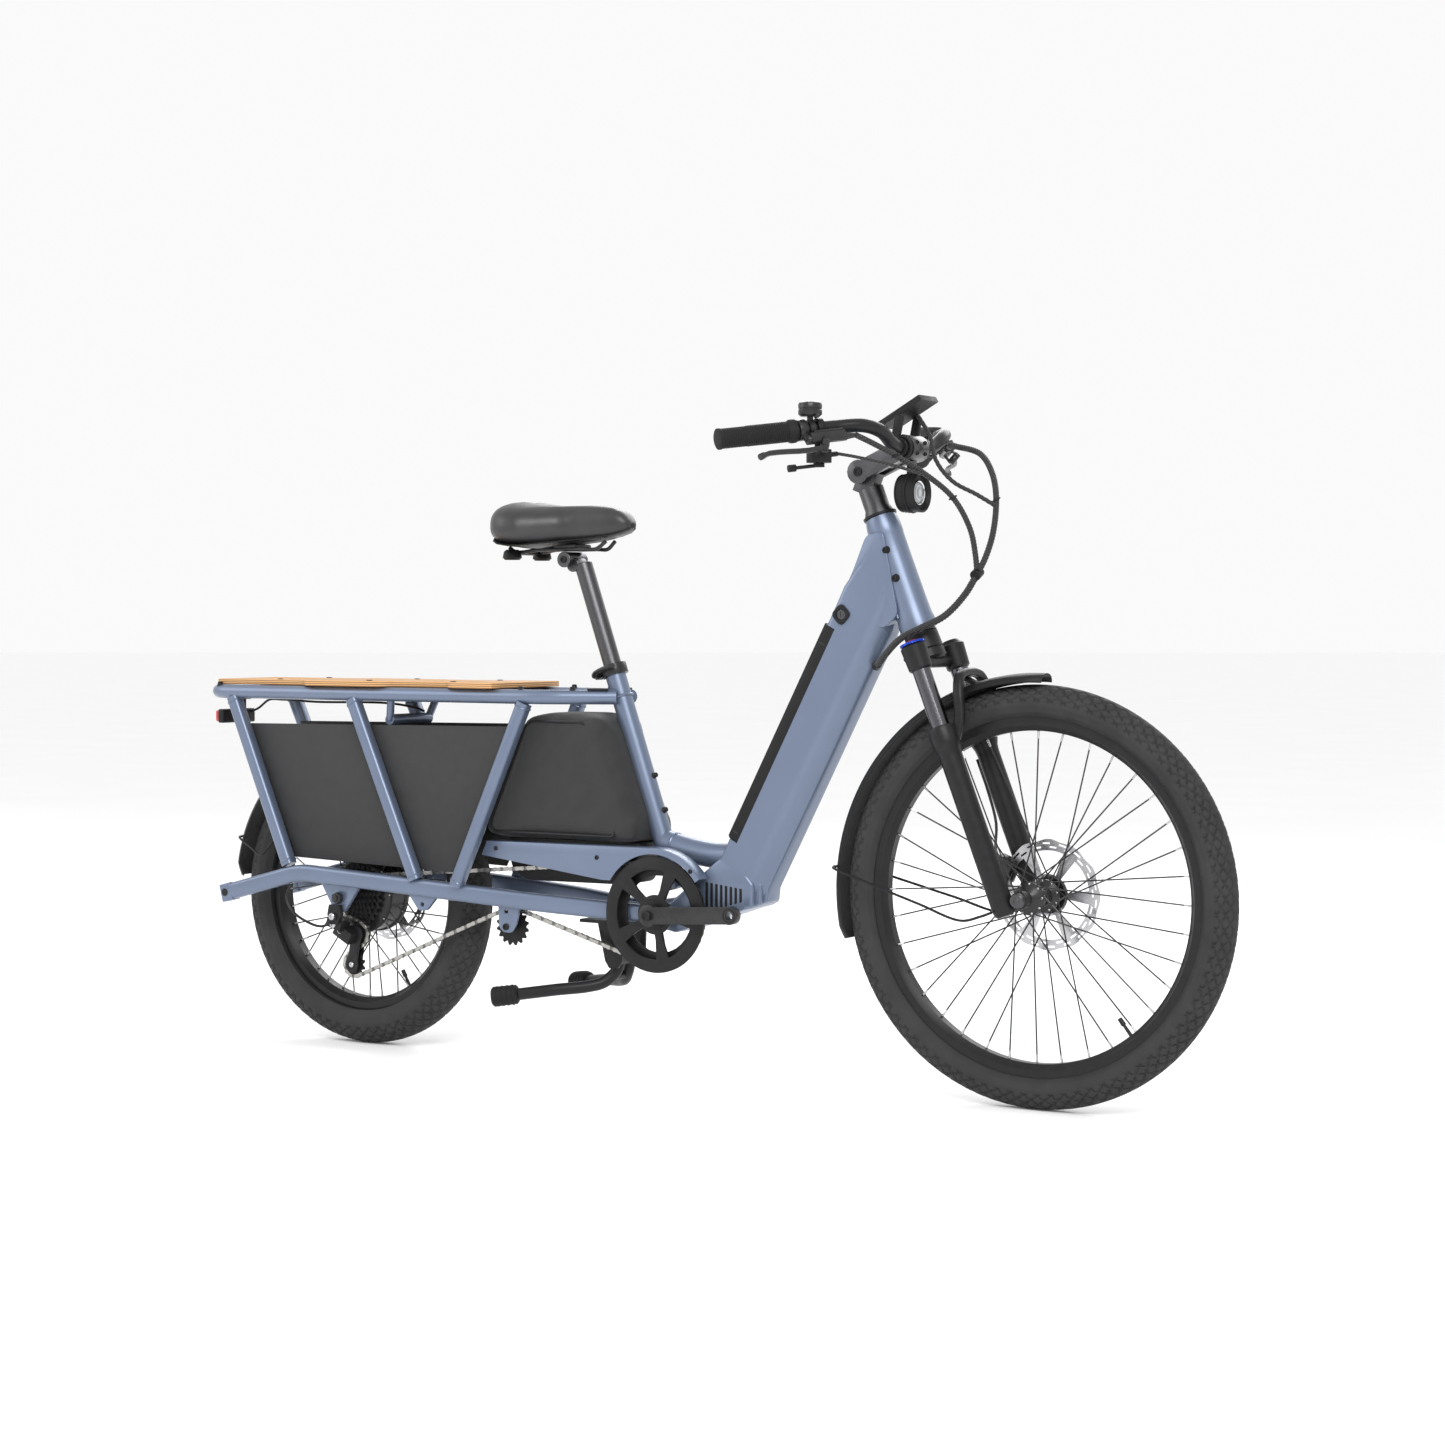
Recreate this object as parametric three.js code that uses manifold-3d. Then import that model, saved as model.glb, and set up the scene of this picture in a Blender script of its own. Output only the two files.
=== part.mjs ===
// Longtail electric cargo bicycle, modelled as an assembly of named sub-parts.
// Millimetres, +Z up, +X forward, +Y to the rider's left; the chain side is -Y.
// Inside this file X is measured from the rear axle and Z from the ground.
import * as THREE from 'three';
import { mergeVertices } from 'three/addons/utils/BufferGeometryUtils.js';
import Module from 'manifold-3d';

const wasm = await Module();
wasm.setup();

// ---------------------------------------------------------------- driving dimensions
const WHEELBASE = 1360.8;
const FIT_GAP = 0.4;
const SURFACE_TOLERANCE = 0.15;
const LEFT = 1;
const RIGHT = -1;

const FRONT_WHEEL = { tyreRadius: 339.5, beadRadius: 287, rimRadius: 266, halfTyre: 28.4, halfRim: 17 };
const REAR_WHEEL = { tyreRadius: 274.2, beadRadius: 211, rimRadius: 190, halfTyre: 37.6, halfRim: 20 };
const WHEEL_SEGMENTS = 36;
const AXLE_RADIUS = 6;
const AXLE_BORE = 6.8;
const DISC_RADIUS = 90;
const DISC_THICKNESS = 2.4;

const HEAD_ANGLE = THREE.MathUtils.degToRad(68.6);
const FORK_OFFSET = 43.7;
const FORK_LEG_FORWARD = 13;
const FORK_LEG_Y = 66;
const STANCHION_RADIUS = 15;
const HEAD_TUBE_BOTTOM = 473;
const HEAD_TUBE_TOP = 671;
const STEM_PIVOT_HEIGHT = 752;

const SEAT_TUBE_SLOPE = 0.351;
const SEAT_TUBE_TOP_Z = 697;
const SEAT_TUBE_BOTTOM_Z = 320;
const SEAT_TUBE_RADIUS = 18;
const SEATPOST_RADIUS = 15.8;
const SEAT_HEAD_Z = 886;

const DOWN_TUBE_SLOPE = 0.524;
const DOWN_TUBE_HALF_DEPTH = 51;
const DOWN_TUBE_HALF_WIDTH = 40;

const BOTTOM_BRACKET_X = 675;
const BOTTOM_BRACKET_Z = 279;
const CHAIN_PITCH = 12.7;
const CHAIN_LINE_Y = -52;
const CHAINRING_TEETH = 44;
const SPROCKET_TEETH = 18;
const IDLER_TEETH = 16;
const PULLEY_TEETH = 11;
const CHAIN_HALF_HEIGHT = 3.5;
const CRANK_LENGTH = 170;

const RACK_TUBE_RADIUS = 12.7;
const RACK_Z = 647;
const RACK_HALF_WIDTH = 84;
const RACK_REAR_X = -308;
const LOWER_RAIL_Z = 318;
const LOWER_RAIL_HALF_WIDTH = 95;
const STRUT_SIZE = 25;
const DECK_Z = 660.4;
const DECK_THICKNESS = 10;
const FENDER_THICKNESS = 2.6;

const BAR_RADIUS = 11.1;
const GRIP_RADIUS = 16.5;
const REAR_END_X = -337;

// ---------------------------------------------------------------- finishes
const finish = (color, roughness, metalness) => {
  return new THREE.MeshStandardMaterial({ color, roughness, metalness });
};
const BLUE_PAINT = finish(0x8794b4, 0.38, 0.35);
const BLACK_METAL = finish(0x222325, 0.45, 0.5);
const BLACK_PLASTIC = finish(0x1c1c1e, 0.55, 0);
const DARK_GREY_METAL = finish(0x4b4c4f, 0.4, 0.7);
const BARE_STEEL = finish(0xc3c5c8, 0.28, 1);
const TYRE_RUBBER = finish(0x2b2c2e, 0.85, 0);
const GRIP_RUBBER = finish(0x1a1a1b, 0.75, 0);
const PLYWOOD = finish(0xc9975f, 0.6, 0);
const BAG_FABRIC = finish(0x1b1c1d, 0.9, 0);
const PANEL_COMPOSITE = finish(0x3c3d3f, 0.7, 0);
const SADDLE_SKIN = finish(0x2a2a2c, 0.5, 0);
const DIAL_BLUE = finish(0x2f4fb4, 0.35, 0.5);
const LENS_RED = finish(0xb01020, 0.25, 0);

// ---------------------------------------------------------------- geometry helpers
const v3 = (x, y, z) => new THREE.Vector3(x, y, z);
const v2 = (x, y) => new THREE.Vector2(x, y);

// Closed geometry to solid: weld the corners, drop collapsed triangles, face outwards.
function solid(geometry) {
  const bare = geometry.clone();
  bare.deleteAttribute('normal');
  bare.deleteAttribute('uv');
  const welded = mergeVertices(bare, 1e-3);
  const points = welded.attributes.position.array;
  const kept = [];
  let volume = 0;
  for (let i = 0; i < welded.index.count; i += 3) {
    const [a, b, c] = [0, 1, 2].map((k) => welded.index.getX(i + k));
    if (a === b || b === c || c === a) continue;
    kept.push(a, b, c);
    const [p, q, r] = [a, b, c].map((k) => new THREE.Vector3().fromArray(points, 3 * k));
    volume += p.dot(q.cross(r));
  }
  if (volume < 0) kept.reverse();
  const mesh = new wasm.Mesh({
    numProp: 3,
    vertProperties: new Float32Array(points),
    triVerts: new Uint32Array(kept),
  });
  return new wasm.Manifold(mesh);
}

// Straight round bar along Y at a given X and Z.
function pin(x, z, yFrom, yTo, radius, sides = 10) {
  return rod(v3(x, yFrom, z), v3(x, yTo, z), radius, radius, sides);
}

const join = (...pieces) => pieces.flat().reduce((sum, piece) => sum.add(piece));
const cut = (body, ...tools) => tools.flat().reduce((rest, tool) => rest.subtract(tool), body);

function toGeometry(body) {
  const mesh = body.simplify(SURFACE_TOLERANCE).getMesh();
  const geometry = new THREE.BufferGeometry();
  geometry.setAttribute('position', new THREE.BufferAttribute(new Float32Array(mesh.vertProperties), 3));
  geometry.setIndex(new THREE.BufferAttribute(new Uint32Array(mesh.triVerts), 1));
  return geometry;
}

function mirrorY(body) {
  const geometry = toGeometry(body);
  geometry.scale(1, -1, 1);
  return solid(geometry);
}

// Moves geometry built around the local Y axis so that Y runs along a direction.
function aim(geometry, origin, direction) {
  const turn = new THREE.Quaternion().setFromUnitVectors(v3(0, 1, 0), direction.clone().normalize());
  geometry.applyQuaternion(turn);
  geometry.translate(origin.x, origin.y, origin.z);
  return geometry;
}

function rod(from, to, radius, endRadius = radius, sides = 10) {
  const axis = to.clone().sub(from);
  const geometry = new THREE.CylinderGeometry(endRadius, radius, axis.length(), sides);
  return solid(aim(geometry, from.clone().add(to).multiplyScalar(0.5), axis));
}

// Solid of revolution: profile of [radius, along] pairs about an axis.
function turned(profile, origin, direction = v3(0, 1, 0), segments = 16) {
  const geometry = new THREE.LatheGeometry(profile.map(([r, along]) => v2(r, along)), segments);
  return solid(aim(geometry, origin, direction));
}

function block(size, centre, turnY = 0) {
  const geometry = new THREE.BoxGeometry(size.x, size.y, size.z);
  geometry.rotateY(turnY);
  geometry.translate(centre.x, centre.y, centre.z);
  return solid(geometry);
}

const outline = (points) => new THREE.Shape(points.map(([x, y]) => v2(x, y)));

// Side-view plate: an outline of [x, z] pairs, or a Shape, between two Y planes.
function sidePlate(shapeOrPoints, yFrom, yTo, curveSegments = 12) {
  const shape = Array.isArray(shapeOrPoints) ? outline(shapeOrPoints) : shapeOrPoints;
  const options = { depth: yTo - yFrom, bevelEnabled: false, curveSegments };
  const geometry = new THREE.ExtrudeGeometry(shape, options);
  geometry.rotateX(Math.PI / 2);
  geometry.translate(0, yTo, 0);
  return solid(geometry);
}

// Top-view plate: an outline of [x, y] pairs, or a Shape, between two heights.
function flatPlate(shapeOrPoints, zFrom, zTo, curveSegments = 12) {
  const shape = Array.isArray(shapeOrPoints) ? outline(shapeOrPoints) : shapeOrPoints;
  const options = { depth: zTo - zFrom, bevelEnabled: false, curveSegments };
  const geometry = new THREE.ExtrudeGeometry(shape, options);
  geometry.translate(0, 0, zFrom);
  return solid(geometry);
}

function circleShape(radius, sides, centreX = 0, centreY = 0) {
  const points = [];
  for (let i = 0; i < sides; i++) {
    const angle = (2 * Math.PI * i) / sides;
    points.push(v2(centreX + radius * Math.cos(angle), centreY + radius * Math.sin(angle)));
  }
  return new THREE.Shape(points);
}

// Round tube along a smooth curve through the given points.
function hose(points, radius, steps, sides = 6) {
  const path = new THREE.CatmullRomCurve3(points, false, 'centripetal');
  const options = { steps, extrudePath: path, bevelEnabled: false };
  return solid(new THREE.ExtrudeGeometry(circleShape(radius, sides), options));
}

// Path with one ring at each listed point, so straight runs cost nothing.
class RingPath extends THREE.Curve {
  constructor(points) {
    super();
    this.points = points;
  }

  getPoint(t) {
    const last = this.points.length - 1;
    const at = Math.min(Math.max(t, 0), 1) * last;
    const i = Math.min(Math.floor(at), last - 1);
    return this.points[i].clone().lerp(this.points[i + 1], at - i);
  }

  getUtoTmapping(u) {
    return u;
  }
}

// Section swept through a list of points, one ring at each.
function sweep(section, points) {
  const options = { steps: points.length - 1, extrudePath: new RingPath(points), bevelEnabled: false };
  return solid(new THREE.ExtrudeGeometry(section, options));
}

// Points along a quarter bend from one straight run to the next.
function bend(from, corner, to, count) {
  return new THREE.QuadraticBezierCurve3(from, corner, to).getPoints(count);
}

function boxSection(width, height, corner) {
  const w = width / 2;
  const h = height / 2;
  return outline([
    [-w + corner, -h], [w - corner, -h], [w, -h + corner], [w, h - corner],
    [w - corner, h], [-w + corner, h], [-w, h - corner], [-w, -h + corner],
  ]);
}

// Straight bar of a box section with trimmed corners between two points; its width lies along Y.
function bar(from, to, width, height, corner) {
  const along = to.clone().sub(from);
  const length = along.length();
  const options = { depth: length, bevelEnabled: false };
  const geometry = new THREE.ExtrudeGeometry(boxSection(width, height, corner), options);
  const forward = along.normalize();
  const side = v3(0, 1, 0).addScaledVector(forward, -forward.y).normalize();
  const up = forward.clone().cross(side);
  geometry.applyMatrix4(new THREE.Matrix4().makeBasis(side, up, forward));
  geometry.translate(from.x, from.y, from.z);
  return solid(geometry);
}

// ---------------------------------------------------------------- reference lines
const REAR_AXLE = v3(0, 0, REAR_WHEEL.tyreRadius);
const FRONT_AXLE = v3(WHEELBASE, 0, FRONT_WHEEL.tyreRadius);
const STEER_UP = v3(-Math.cos(HEAD_ANGLE), 0, Math.sin(HEAD_ANGLE));
const STEER_FORWARD = v3(Math.sin(HEAD_ANGLE), 0, Math.cos(HEAD_ANGLE));
const STEER_FOOT = FRONT_AXLE.clone().addScaledVector(STEER_FORWARD, -FORK_OFFSET);
const Y_AXIS = v3(0, 1, 0);

// A point by its height along the steering axis, distance ahead of it, and Y.
function onFork(height, forward = 0, y = 0) {
  const point = STEER_FOOT.clone().addScaledVector(STEER_UP, height);
  point.addScaledVector(STEER_FORWARD, forward);
  point.y = y;
  return point;
}

const seatTubeX = (z) => 545 + (700 - z) * SEAT_TUBE_SLOPE;
const onSeatTube = (z, y = 0) => v3(seatTubeX(z), y, z);
const SEAT_UP = onSeatTube(1).sub(onSeatTube(0)).normalize();
const onDownTube = (z) => v3(950.7 + (z - 580) * DOWN_TUBE_SLOPE, 0, z);
const DOWN_TUBE_UP = onDownTube(1).sub(onDownTube(0)).normalize();
const DOWN_TUBE_BELOW = v3(DOWN_TUBE_UP.z, 0, -DOWN_TUBE_UP.x);
const sideY = (z) => {
  const lean = (LOWER_RAIL_HALF_WIDTH - RACK_HALF_WIDTH) / (RACK_Z - LOWER_RAIL_Z);
  return RACK_HALF_WIDTH + (RACK_Z - z) * lean;
};
const pitchRadius = (teeth) => CHAIN_PITCH / (2 * Math.sin(Math.PI / teeth));

// ---------------------------------------------------------------- assembly
const bicycle = new THREE.Group();
bicycle.position.x = -(REAR_END_X + WHEELBASE + FRONT_WHEEL.tyreRadius) / 2;

function add(name, body, material) {
  const geometry = toGeometry(body);
  geometry.computeVertexNormals();
  const mesh = new THREE.Mesh(geometry, material);
  mesh.name = name;
  bicycle.add(mesh);
  return body;
}

// ---------------------------------------------------------------- frame: main beam
const seatTubeRod = (radius, fromZ, toZ) => rod(onSeatTube(fromZ), onSeatTube(toZ), radius, radius, 14);

const DOWN_TUBE_LOW_Z = 345;
const DOWN_TUBE_HIGH_Z = 800;
const HOUSING_HALF_WIDTH = 42;
const LOW_STEP_RADIUS = 22;
const SHELL_BORE = 15;
const HEAD_BORE = 18;

// Box-section down tube whose front edges are cut off at a slant.
function downTube() {
  const u = DOWN_TUBE_HALF_DEPTH;
  const w = DOWN_TUBE_HALF_WIDTH;
  const section = outline([
    [-w + 4, -u], [w - 4, -u], [w, -u + 4], [w, 24], [18, u], [-18, u], [-w, 24], [-w, -u + 4],
  ]);
  const low = onDownTube(DOWN_TUBE_LOW_Z);
  const high = onDownTube(DOWN_TUBE_HIGH_Z);
  const options = { depth: high.distanceTo(low), bevelEnabled: false };
  const beam = new THREE.ExtrudeGeometry(section, options);
  beam.applyMatrix4(new THREE.Matrix4().makeBasis(v3(0, -1, 0), DOWN_TUBE_BELOW, DOWN_TUBE_UP));
  beam.translate(low.x, low.y, low.z);
  return solid(beam);
}

// Two plates that widen the beam behind the head tube.
function headGusset() {
  const web = sidePlate([
    [1000, 782], [1012, 776], [1066, 760], [1120, 770], [1140, 800], [1090, 926], [1064, 917], [1043, 860],
  ], -30, 30);
  const cheeks = sidePlate([
    [998, 780], [1012, 776], [1088, 778], [1112, 790], [1098, 838], [1042, 856],
  ], -38, 38);
  return join(web, cheeks);
}

// Block between the bottom bracket and the down tube, stepped in towards its nose.
function bottomHousing() {
  const w = HOUSING_HALF_WIDTH;
  const motorBlock = sidePlate([
    [690, 300], [752, 350], [790, 382], [842, 352], [857, 337], [854, 297], [832, 291], [700, 246],
    [668, 252], [655, 279], [668, 300],
  ], -w, w);
  const jaw = sidePlate([[846, 354], [866, 336], [864, 303], [832, 291]], 10 - w, w - 10);
  const nose = sidePlate([[850, 352], [874, 333], [871, 307], [832, 291]], 20 - w, w - 20);
  return join(motorBlock, jaw, nose);
}

function headTube() {
  return turned([
    [0, HEAD_TUBE_BOTTOM], [31, HEAD_TUBE_BOTTOM], [31, HEAD_TUBE_BOTTOM + 16],
    [28.5, HEAD_TUBE_BOTTOM + 40], [28, HEAD_TUBE_TOP - 34], [28, HEAD_TUBE_TOP - 12],
    [25.5, HEAD_TUBE_TOP], [0, HEAD_TUBE_TOP],
  ], STEER_FOOT, STEER_UP);
}

function mainFrame() {
  const x = BOTTOM_BRACKET_X;
  const z = BOTTOM_BRACKET_Z;
  const shell = pin(x, z, -37, 37, SHELL_BORE + 1);
  const lowStep = hose([
    v3(664, 0, 395), v3(690, 0, 389), v3(716, 0, 384), v3(760, 0, 379), v3(814, 0, 381),
  ], LOW_STEP_RADIUS, 10, 12);
  const body = join(downTube(), headGusset(), bottomHousing(), shell, lowStep, headTube());

  const headBore = rod(
    onFork(HEAD_TUBE_BOTTOM - 60), onFork(HEAD_TUBE_TOP + 40), HEAD_BORE, HEAD_BORE, 14);
  const shellBore = pin(x, z, -60, 60, SHELL_BORE);
  const seatTubeSpace = seatTubeRod(SEAT_TUBE_RADIUS + FIT_GAP, 306, 480);
  const shellSides = [LEFT, RIGHT].map((side) => block(v3(70, 20, 130), v3(x + 5, side * 47.1, z + 11)));
  return cut(body, headBore, shellBore, seatTubeSpace, batterySpace(), lockSpace(), shellSides);
}

// The battery's core sits in the down tube and its cover closes the tube's rear face.
const BATTERY_LOW_Z = 400;
const BATTERY_HIGH_Z = 745;
const BATTERY_HALF_WIDTH = 29;
const COVER_LOW_Z = 391;
const COVER_HIGH_Z = 750;
const COVER_FRONT = -33;

function downTubeBox(fromZ, toZ, fromDepth, toDepth, halfWidth, clearance) {
  const low = onDownTube(fromZ).addScaledVector(DOWN_TUBE_UP, -clearance);
  const high = onDownTube(toZ).addScaledVector(DOWN_TUBE_UP, clearance);
  const depthMiddle = (fromDepth + toDepth) / 2;
  const centre = low.clone().add(high).multiplyScalar(0.5).addScaledVector(DOWN_TUBE_BELOW, depthMiddle);
  const size = v3(toDepth - fromDepth, 2 * (halfWidth + clearance), low.distanceTo(high));
  return block(size, centre, Math.atan(DOWN_TUBE_SLOPE));
}

function batterySpace() {
  const bay = downTubeBox(BATTERY_LOW_Z, BATTERY_HIGH_Z, -90, 12, BATTERY_HALF_WIDTH, 1.2);
  const coverSeat = downTubeBox(COVER_LOW_Z, COVER_HIGH_Z, -90, COVER_FRONT + 0.5, 60, 0.6);
  return join(bay, coverSeat);
}

function batteryPack() {
  const core = downTubeBox(BATTERY_LOW_Z, BATTERY_HIGH_Z, COVER_FRONT - 4, 11, BATTERY_HALF_WIDTH, 0);
  const cover = downTubeBox(COVER_LOW_Z, COVER_HIGH_Z, -52, COVER_FRONT, 39, 0);
  const ridge = downTubeBox(COVER_LOW_Z, COVER_HIGH_Z, -57, -51, 33, 0);
  const grip = downTubeBox(COVER_HIGH_Z - 34, COVER_HIGH_Z - 4, -62, -56, 15, 0);
  return join(core, cover, ridge, grip);
}

const LOCK_CENTRE = v3(1024, 0, 790);
const lockSpace = () => pin(LOCK_CENTRE.x, LOCK_CENTRE.z, -60, -34, 9);

function keyLock() {
  const barrel = pin(LOCK_CENTRE.x, LOCK_CENTRE.z, -34.5, -41.5, 8.4);
  return cut(barrel, block(v3(2, 2, 9), v3(LOCK_CENTRE.x, -41.5, LOCK_CENTRE.z)));
}

add('main_frame', mainFrame(), BLUE_PAINT);
add('battery_pack', batteryPack(), BLACK_PLASTIC);
add('key_lock', keyLock(), BARE_STEEL);

// ---------------------------------------------------------------- seat tube, post and saddle
const SEATPOST_BOTTOM_Z = 490;

function seatTube() {
  const tube = seatTubeRod(SEAT_TUBE_RADIUS, SEAT_TUBE_BOTTOM_Z, SEAT_TUBE_TOP_Z);
  return cut(tube, seatTubeRod(SEATPOST_RADIUS + 0.5, 372, SEAT_TUBE_TOP_Z + 30));
}

function seatClamp() {
  const from = onSeatTube(SEAT_TUBE_TOP_Z - 13);
  const to = onSeatTube(SEAT_TUBE_TOP_Z + 5);
  const collar = rod(from, to, 23.5, 23.5, 14);
  const ear = block(v3(16, 20, 12), onSeatTube(SEAT_TUBE_TOP_Z - 4).add(v3(-27, 0, -9)), -0.33);
  const bore = seatTubeRod(SEAT_TUBE_RADIUS + FIT_GAP, SEAT_TUBE_TOP_Z - 40, SEAT_TUBE_TOP_Z + 1);
  const postHole = seatTubeRod(SEATPOST_RADIUS + 0.7, SEAT_TUBE_TOP_Z - 1, SEAT_TUBE_TOP_Z + 30);
  const slot = block(v3(40, 2, 40), onSeatTube(SEAT_TUBE_TOP_Z - 4).add(v3(-35, 0, -9)));
  return cut(join(collar, ear), bore, postHole, slot);
}

const CLAMP_PIVOT = onSeatTube(SEAT_TUBE_TOP_Z - 4).add(v3(-28, 0, -9));

function seatClampLever() {
  const boss = pin(CLAMP_PIVOT.x, CLAMP_PIVOT.z, -21, -10.6, 6);
  const blade = hose([
    v3(CLAMP_PIVOT.x, -18, CLAMP_PIVOT.z), v3(CLAMP_PIVOT.x + 4, -27, CLAMP_PIVOT.z + 3),
    v3(CLAMP_PIVOT.x + 26, -34, CLAMP_PIVOT.z + 12), v3(CLAMP_PIVOT.x + 50, -32, CLAMP_PIVOT.z + 20),
  ], 4, 8);
  return join(boss, blade);
}

const SEAT_HEAD = onSeatTube(SEAT_HEAD_Z);

function seatpost() {
  const post = seatTubeRod(SEATPOST_RADIUS, SEATPOST_BOTTOM_Z, SEAT_HEAD_Z - 8);
  const head = pin(SEAT_HEAD.x - 20, SEAT_HEAD_Z, -28, 28, 13.6);
  const neck = pin(SEAT_HEAD.x - 10, SEAT_HEAD_Z - 9, -15, 15, 12);
  return join(post, head, neck);
}

const SADDLE_REAR_X = 318;
const SADDLE_NOSE_X = 588;
const SADDLE_HALF_WIDTH = 100;

function saddle() {
  const side = new THREE.Shape();
  side.moveTo(SADDLE_REAR_X, 940);
  side.bezierCurveTo(SADDLE_REAR_X, 985, 350, 990, 372, 987);
  side.bezierCurveTo(410, 976, 440, 977, 500, 979);
  side.bezierCurveTo(545, 980, 583, 975, SADDLE_NOSE_X, 944);
  side.lineTo(SADDLE_NOSE_X - 4, 934);
  side.bezierCurveTo(540, 921, 470, 919, 420, 912);
  side.bezierCurveTo(380, 905, 335, 912, SADDLE_REAR_X, 940);
  const top = new THREE.Shape();
  top.moveTo(SADDLE_REAR_X, 0);
  top.bezierCurveTo(SADDLE_REAR_X, 70, 340, SADDLE_HALF_WIDTH, 378, SADDLE_HALF_WIDTH);
  top.bezierCurveTo(430, 96, 430, 42, 500, 32);
  top.bezierCurveTo(560, 26, SADDLE_NOSE_X, 22, SADDLE_NOSE_X, 0);
  top.bezierCurveTo(SADDLE_NOSE_X, -22, 560, -26, 500, -32);
  top.bezierCurveTo(430, -42, 430, -96, 378, -SADDLE_HALF_WIDTH);
  top.bezierCurveTo(340, -SADDLE_HALF_WIDTH, SADDLE_REAR_X, -70, SADDLE_REAR_X, 0);
  return sidePlate(side, -110, 110, 6).intersect(flatPlate(top, 880, 1010, 6));
}

function saddleRails() {
  const railZ = SEAT_HEAD_Z + 18;
  const pieces = [LEFT, RIGHT].map((side) => hose([
    v3(352, side * 40, 908), v3(364, side * 36, 900), v3(408, side * 24, railZ), v3(462, side * 21, railZ),
    v3(500, side * 21, railZ), v3(522, side * 18, 904), v3(540, side * 14, 917),
  ], 3.5, 10, 6));
  const bumpers = [LEFT, RIGHT].map((side) => {
    return rod(v3(362, side * 45, 886), v3(362, side * 45, 906), 17, 17, 12);
  });
  const rearBridge = pin(362, 898, -45, 45, 3.5, 8);
  const cradle = block(v3(44, 52, 6), v3(SEAT_HEAD.x - 20, 0, railZ + 6));
  return join(pieces, bumpers, rearBridge, cradle);
}

add('seat_tube', seatTube(), BLUE_PAINT);
add('seat_clamp', seatClamp(), BLACK_METAL);
add('seat_clamp_lever', seatClampLever(), BLACK_METAL);
add('seatpost', seatpost(), DARK_GREY_METAL);
add('saddle', saddle(), SADDLE_SKIN);
add('saddle_rails', cut(saddleRails(), saddle()), BLACK_METAL);

// ---------------------------------------------------------------- rack loop, side frames, deck
const RACK_BEND_X = 440;
const RACK_CORNER = 46;

function rackLoop() {
  const w = RACK_HALF_WIDTH;
  const inner = RACK_REAR_X + RACK_CORNER;
  const frontX = seatTubeX(RACK_Z) + 4;
  const at = (x, y) => v3(x, y, RACK_Z);
  const half = [
    at(frontX, w - 62),
    ...bend(at(RACK_BEND_X + 46, w - 18), at(RACK_BEND_X + 14, w), at(RACK_BEND_X - 30, w), 5),
    ...bend(at(inner, w), at(RACK_REAR_X, w), at(RACK_REAR_X, w - RACK_CORNER), 6),
  ];
  const other = half.map((point) => v3(point.x, -point.y, point.z)).reverse();
  const loop = sweep(circleShape(RACK_TUBE_RADIUS, 10), [...half, ...other]);
  const crossbars = [-210, 130, 400].map((x) => pin(x, RACK_Z - 3, -w, w, 8, 8));
  const lowBar = pin(96, 600, -58, 58, 10);
  const hangers = [LEFT, RIGHT].map((side) => rod(v3(96, side * 56, 600), at(110, side * 70), 7, 7, 8));
  return cut(join(loop, crossbars, lowBar, hangers), seatTubeRod(SEAT_TUBE_RADIUS + FIT_GAP, 560, 700));
}

const STRUTS = [
  { top: v3(-250, 0, 631), foot: v3(-108, 0, 322) },
  { top: v3(34, 0, 631), foot: v3(187, 0, 308) },
  { top: v3(416, 0, 631), foot: v3(270, 0, 303) },
];
const RAIL_POINTS = [
  v3(-262, 95, 271), v3(-84, 95, 318), v3(290, 84, 297),
  v3(440, 70, 287), v3(566, 38, 278), v3(650, 32, 275),
];

function sideFrame(side) {
  const at = (point, y = point.y) => v3(point.x, side * y, point.z);
  const rail = sweep(boxSection(22, 31, 6), RAIL_POINTS.map((point) => at(point)));
  const tip = block(v3(26, 24, 34), v3(-255, side * 95, 273), -0.26);
  const struts = STRUTS.map(({ top, foot }) => {
    return bar(at(foot, sideY(foot.z) - 2), at(top, sideY(top.z)), STRUT_SIZE, STRUT_SIZE, 5);
  });
  const plateY = side > 0 ? [76, 86] : [-86, -76];
  const dropout = sidePlate([[-50, 312], [52, 306], [14, 252], [6, 247], [-8, 247], [-14, 254]], ...plateY);
  const tabX = 194;
  const tab = sidePlate([
    [tabX - 36, 296], [tabX + 36, 292], [tabX + 9, 261], [tabX - 9, 261],
  ], Math.min(side * 82, side * 90), Math.max(side * 82, side * 90));
  const axleSlot = pin(0, REAR_AXLE.z, side * 60, side * 120, AXLE_RADIUS + FIT_GAP);
  const tabHole = pin(tabX, 273, side * 60, side * 120, 4);
  const tipHole = pin(-257, 273, side * 60, side * 120, 4);
  let body = join(rail, tip, struts, dropout, tab);
  if (side === RIGHT) body = join(body, idlerBracket());
  const rackY = side * RACK_HALF_WIDTH;
  const rackRadius = RACK_TUBE_RADIUS + 2 * FIT_GAP;
  const rackSpace = rod(
    v3(-300, rackY, RACK_Z), v3(RACK_BEND_X - 6, rackY, RACK_Z), rackRadius, rackRadius, 12);
  return cut(body, axleSlot, tabHole, tipHole, rackSpace);
}

const IDLER_CENTRE = v3(366, CHAIN_LINE_Y, 241);

function idlerBracket() {
  const plate = sidePlate([
    [350, 292], [396, 290], [386, 246], [378, 231], [360, 231], [352, 240],
  ], -72, -67);
  const hanger = block(v3(42, 10, 12), v3(373, -71, 286));
  const stub = pin(IDLER_CENTRE.x, IDLER_CENTRE.z, -70, -44, 5, 12);
  return join(plate, hanger, stub);
}

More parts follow.
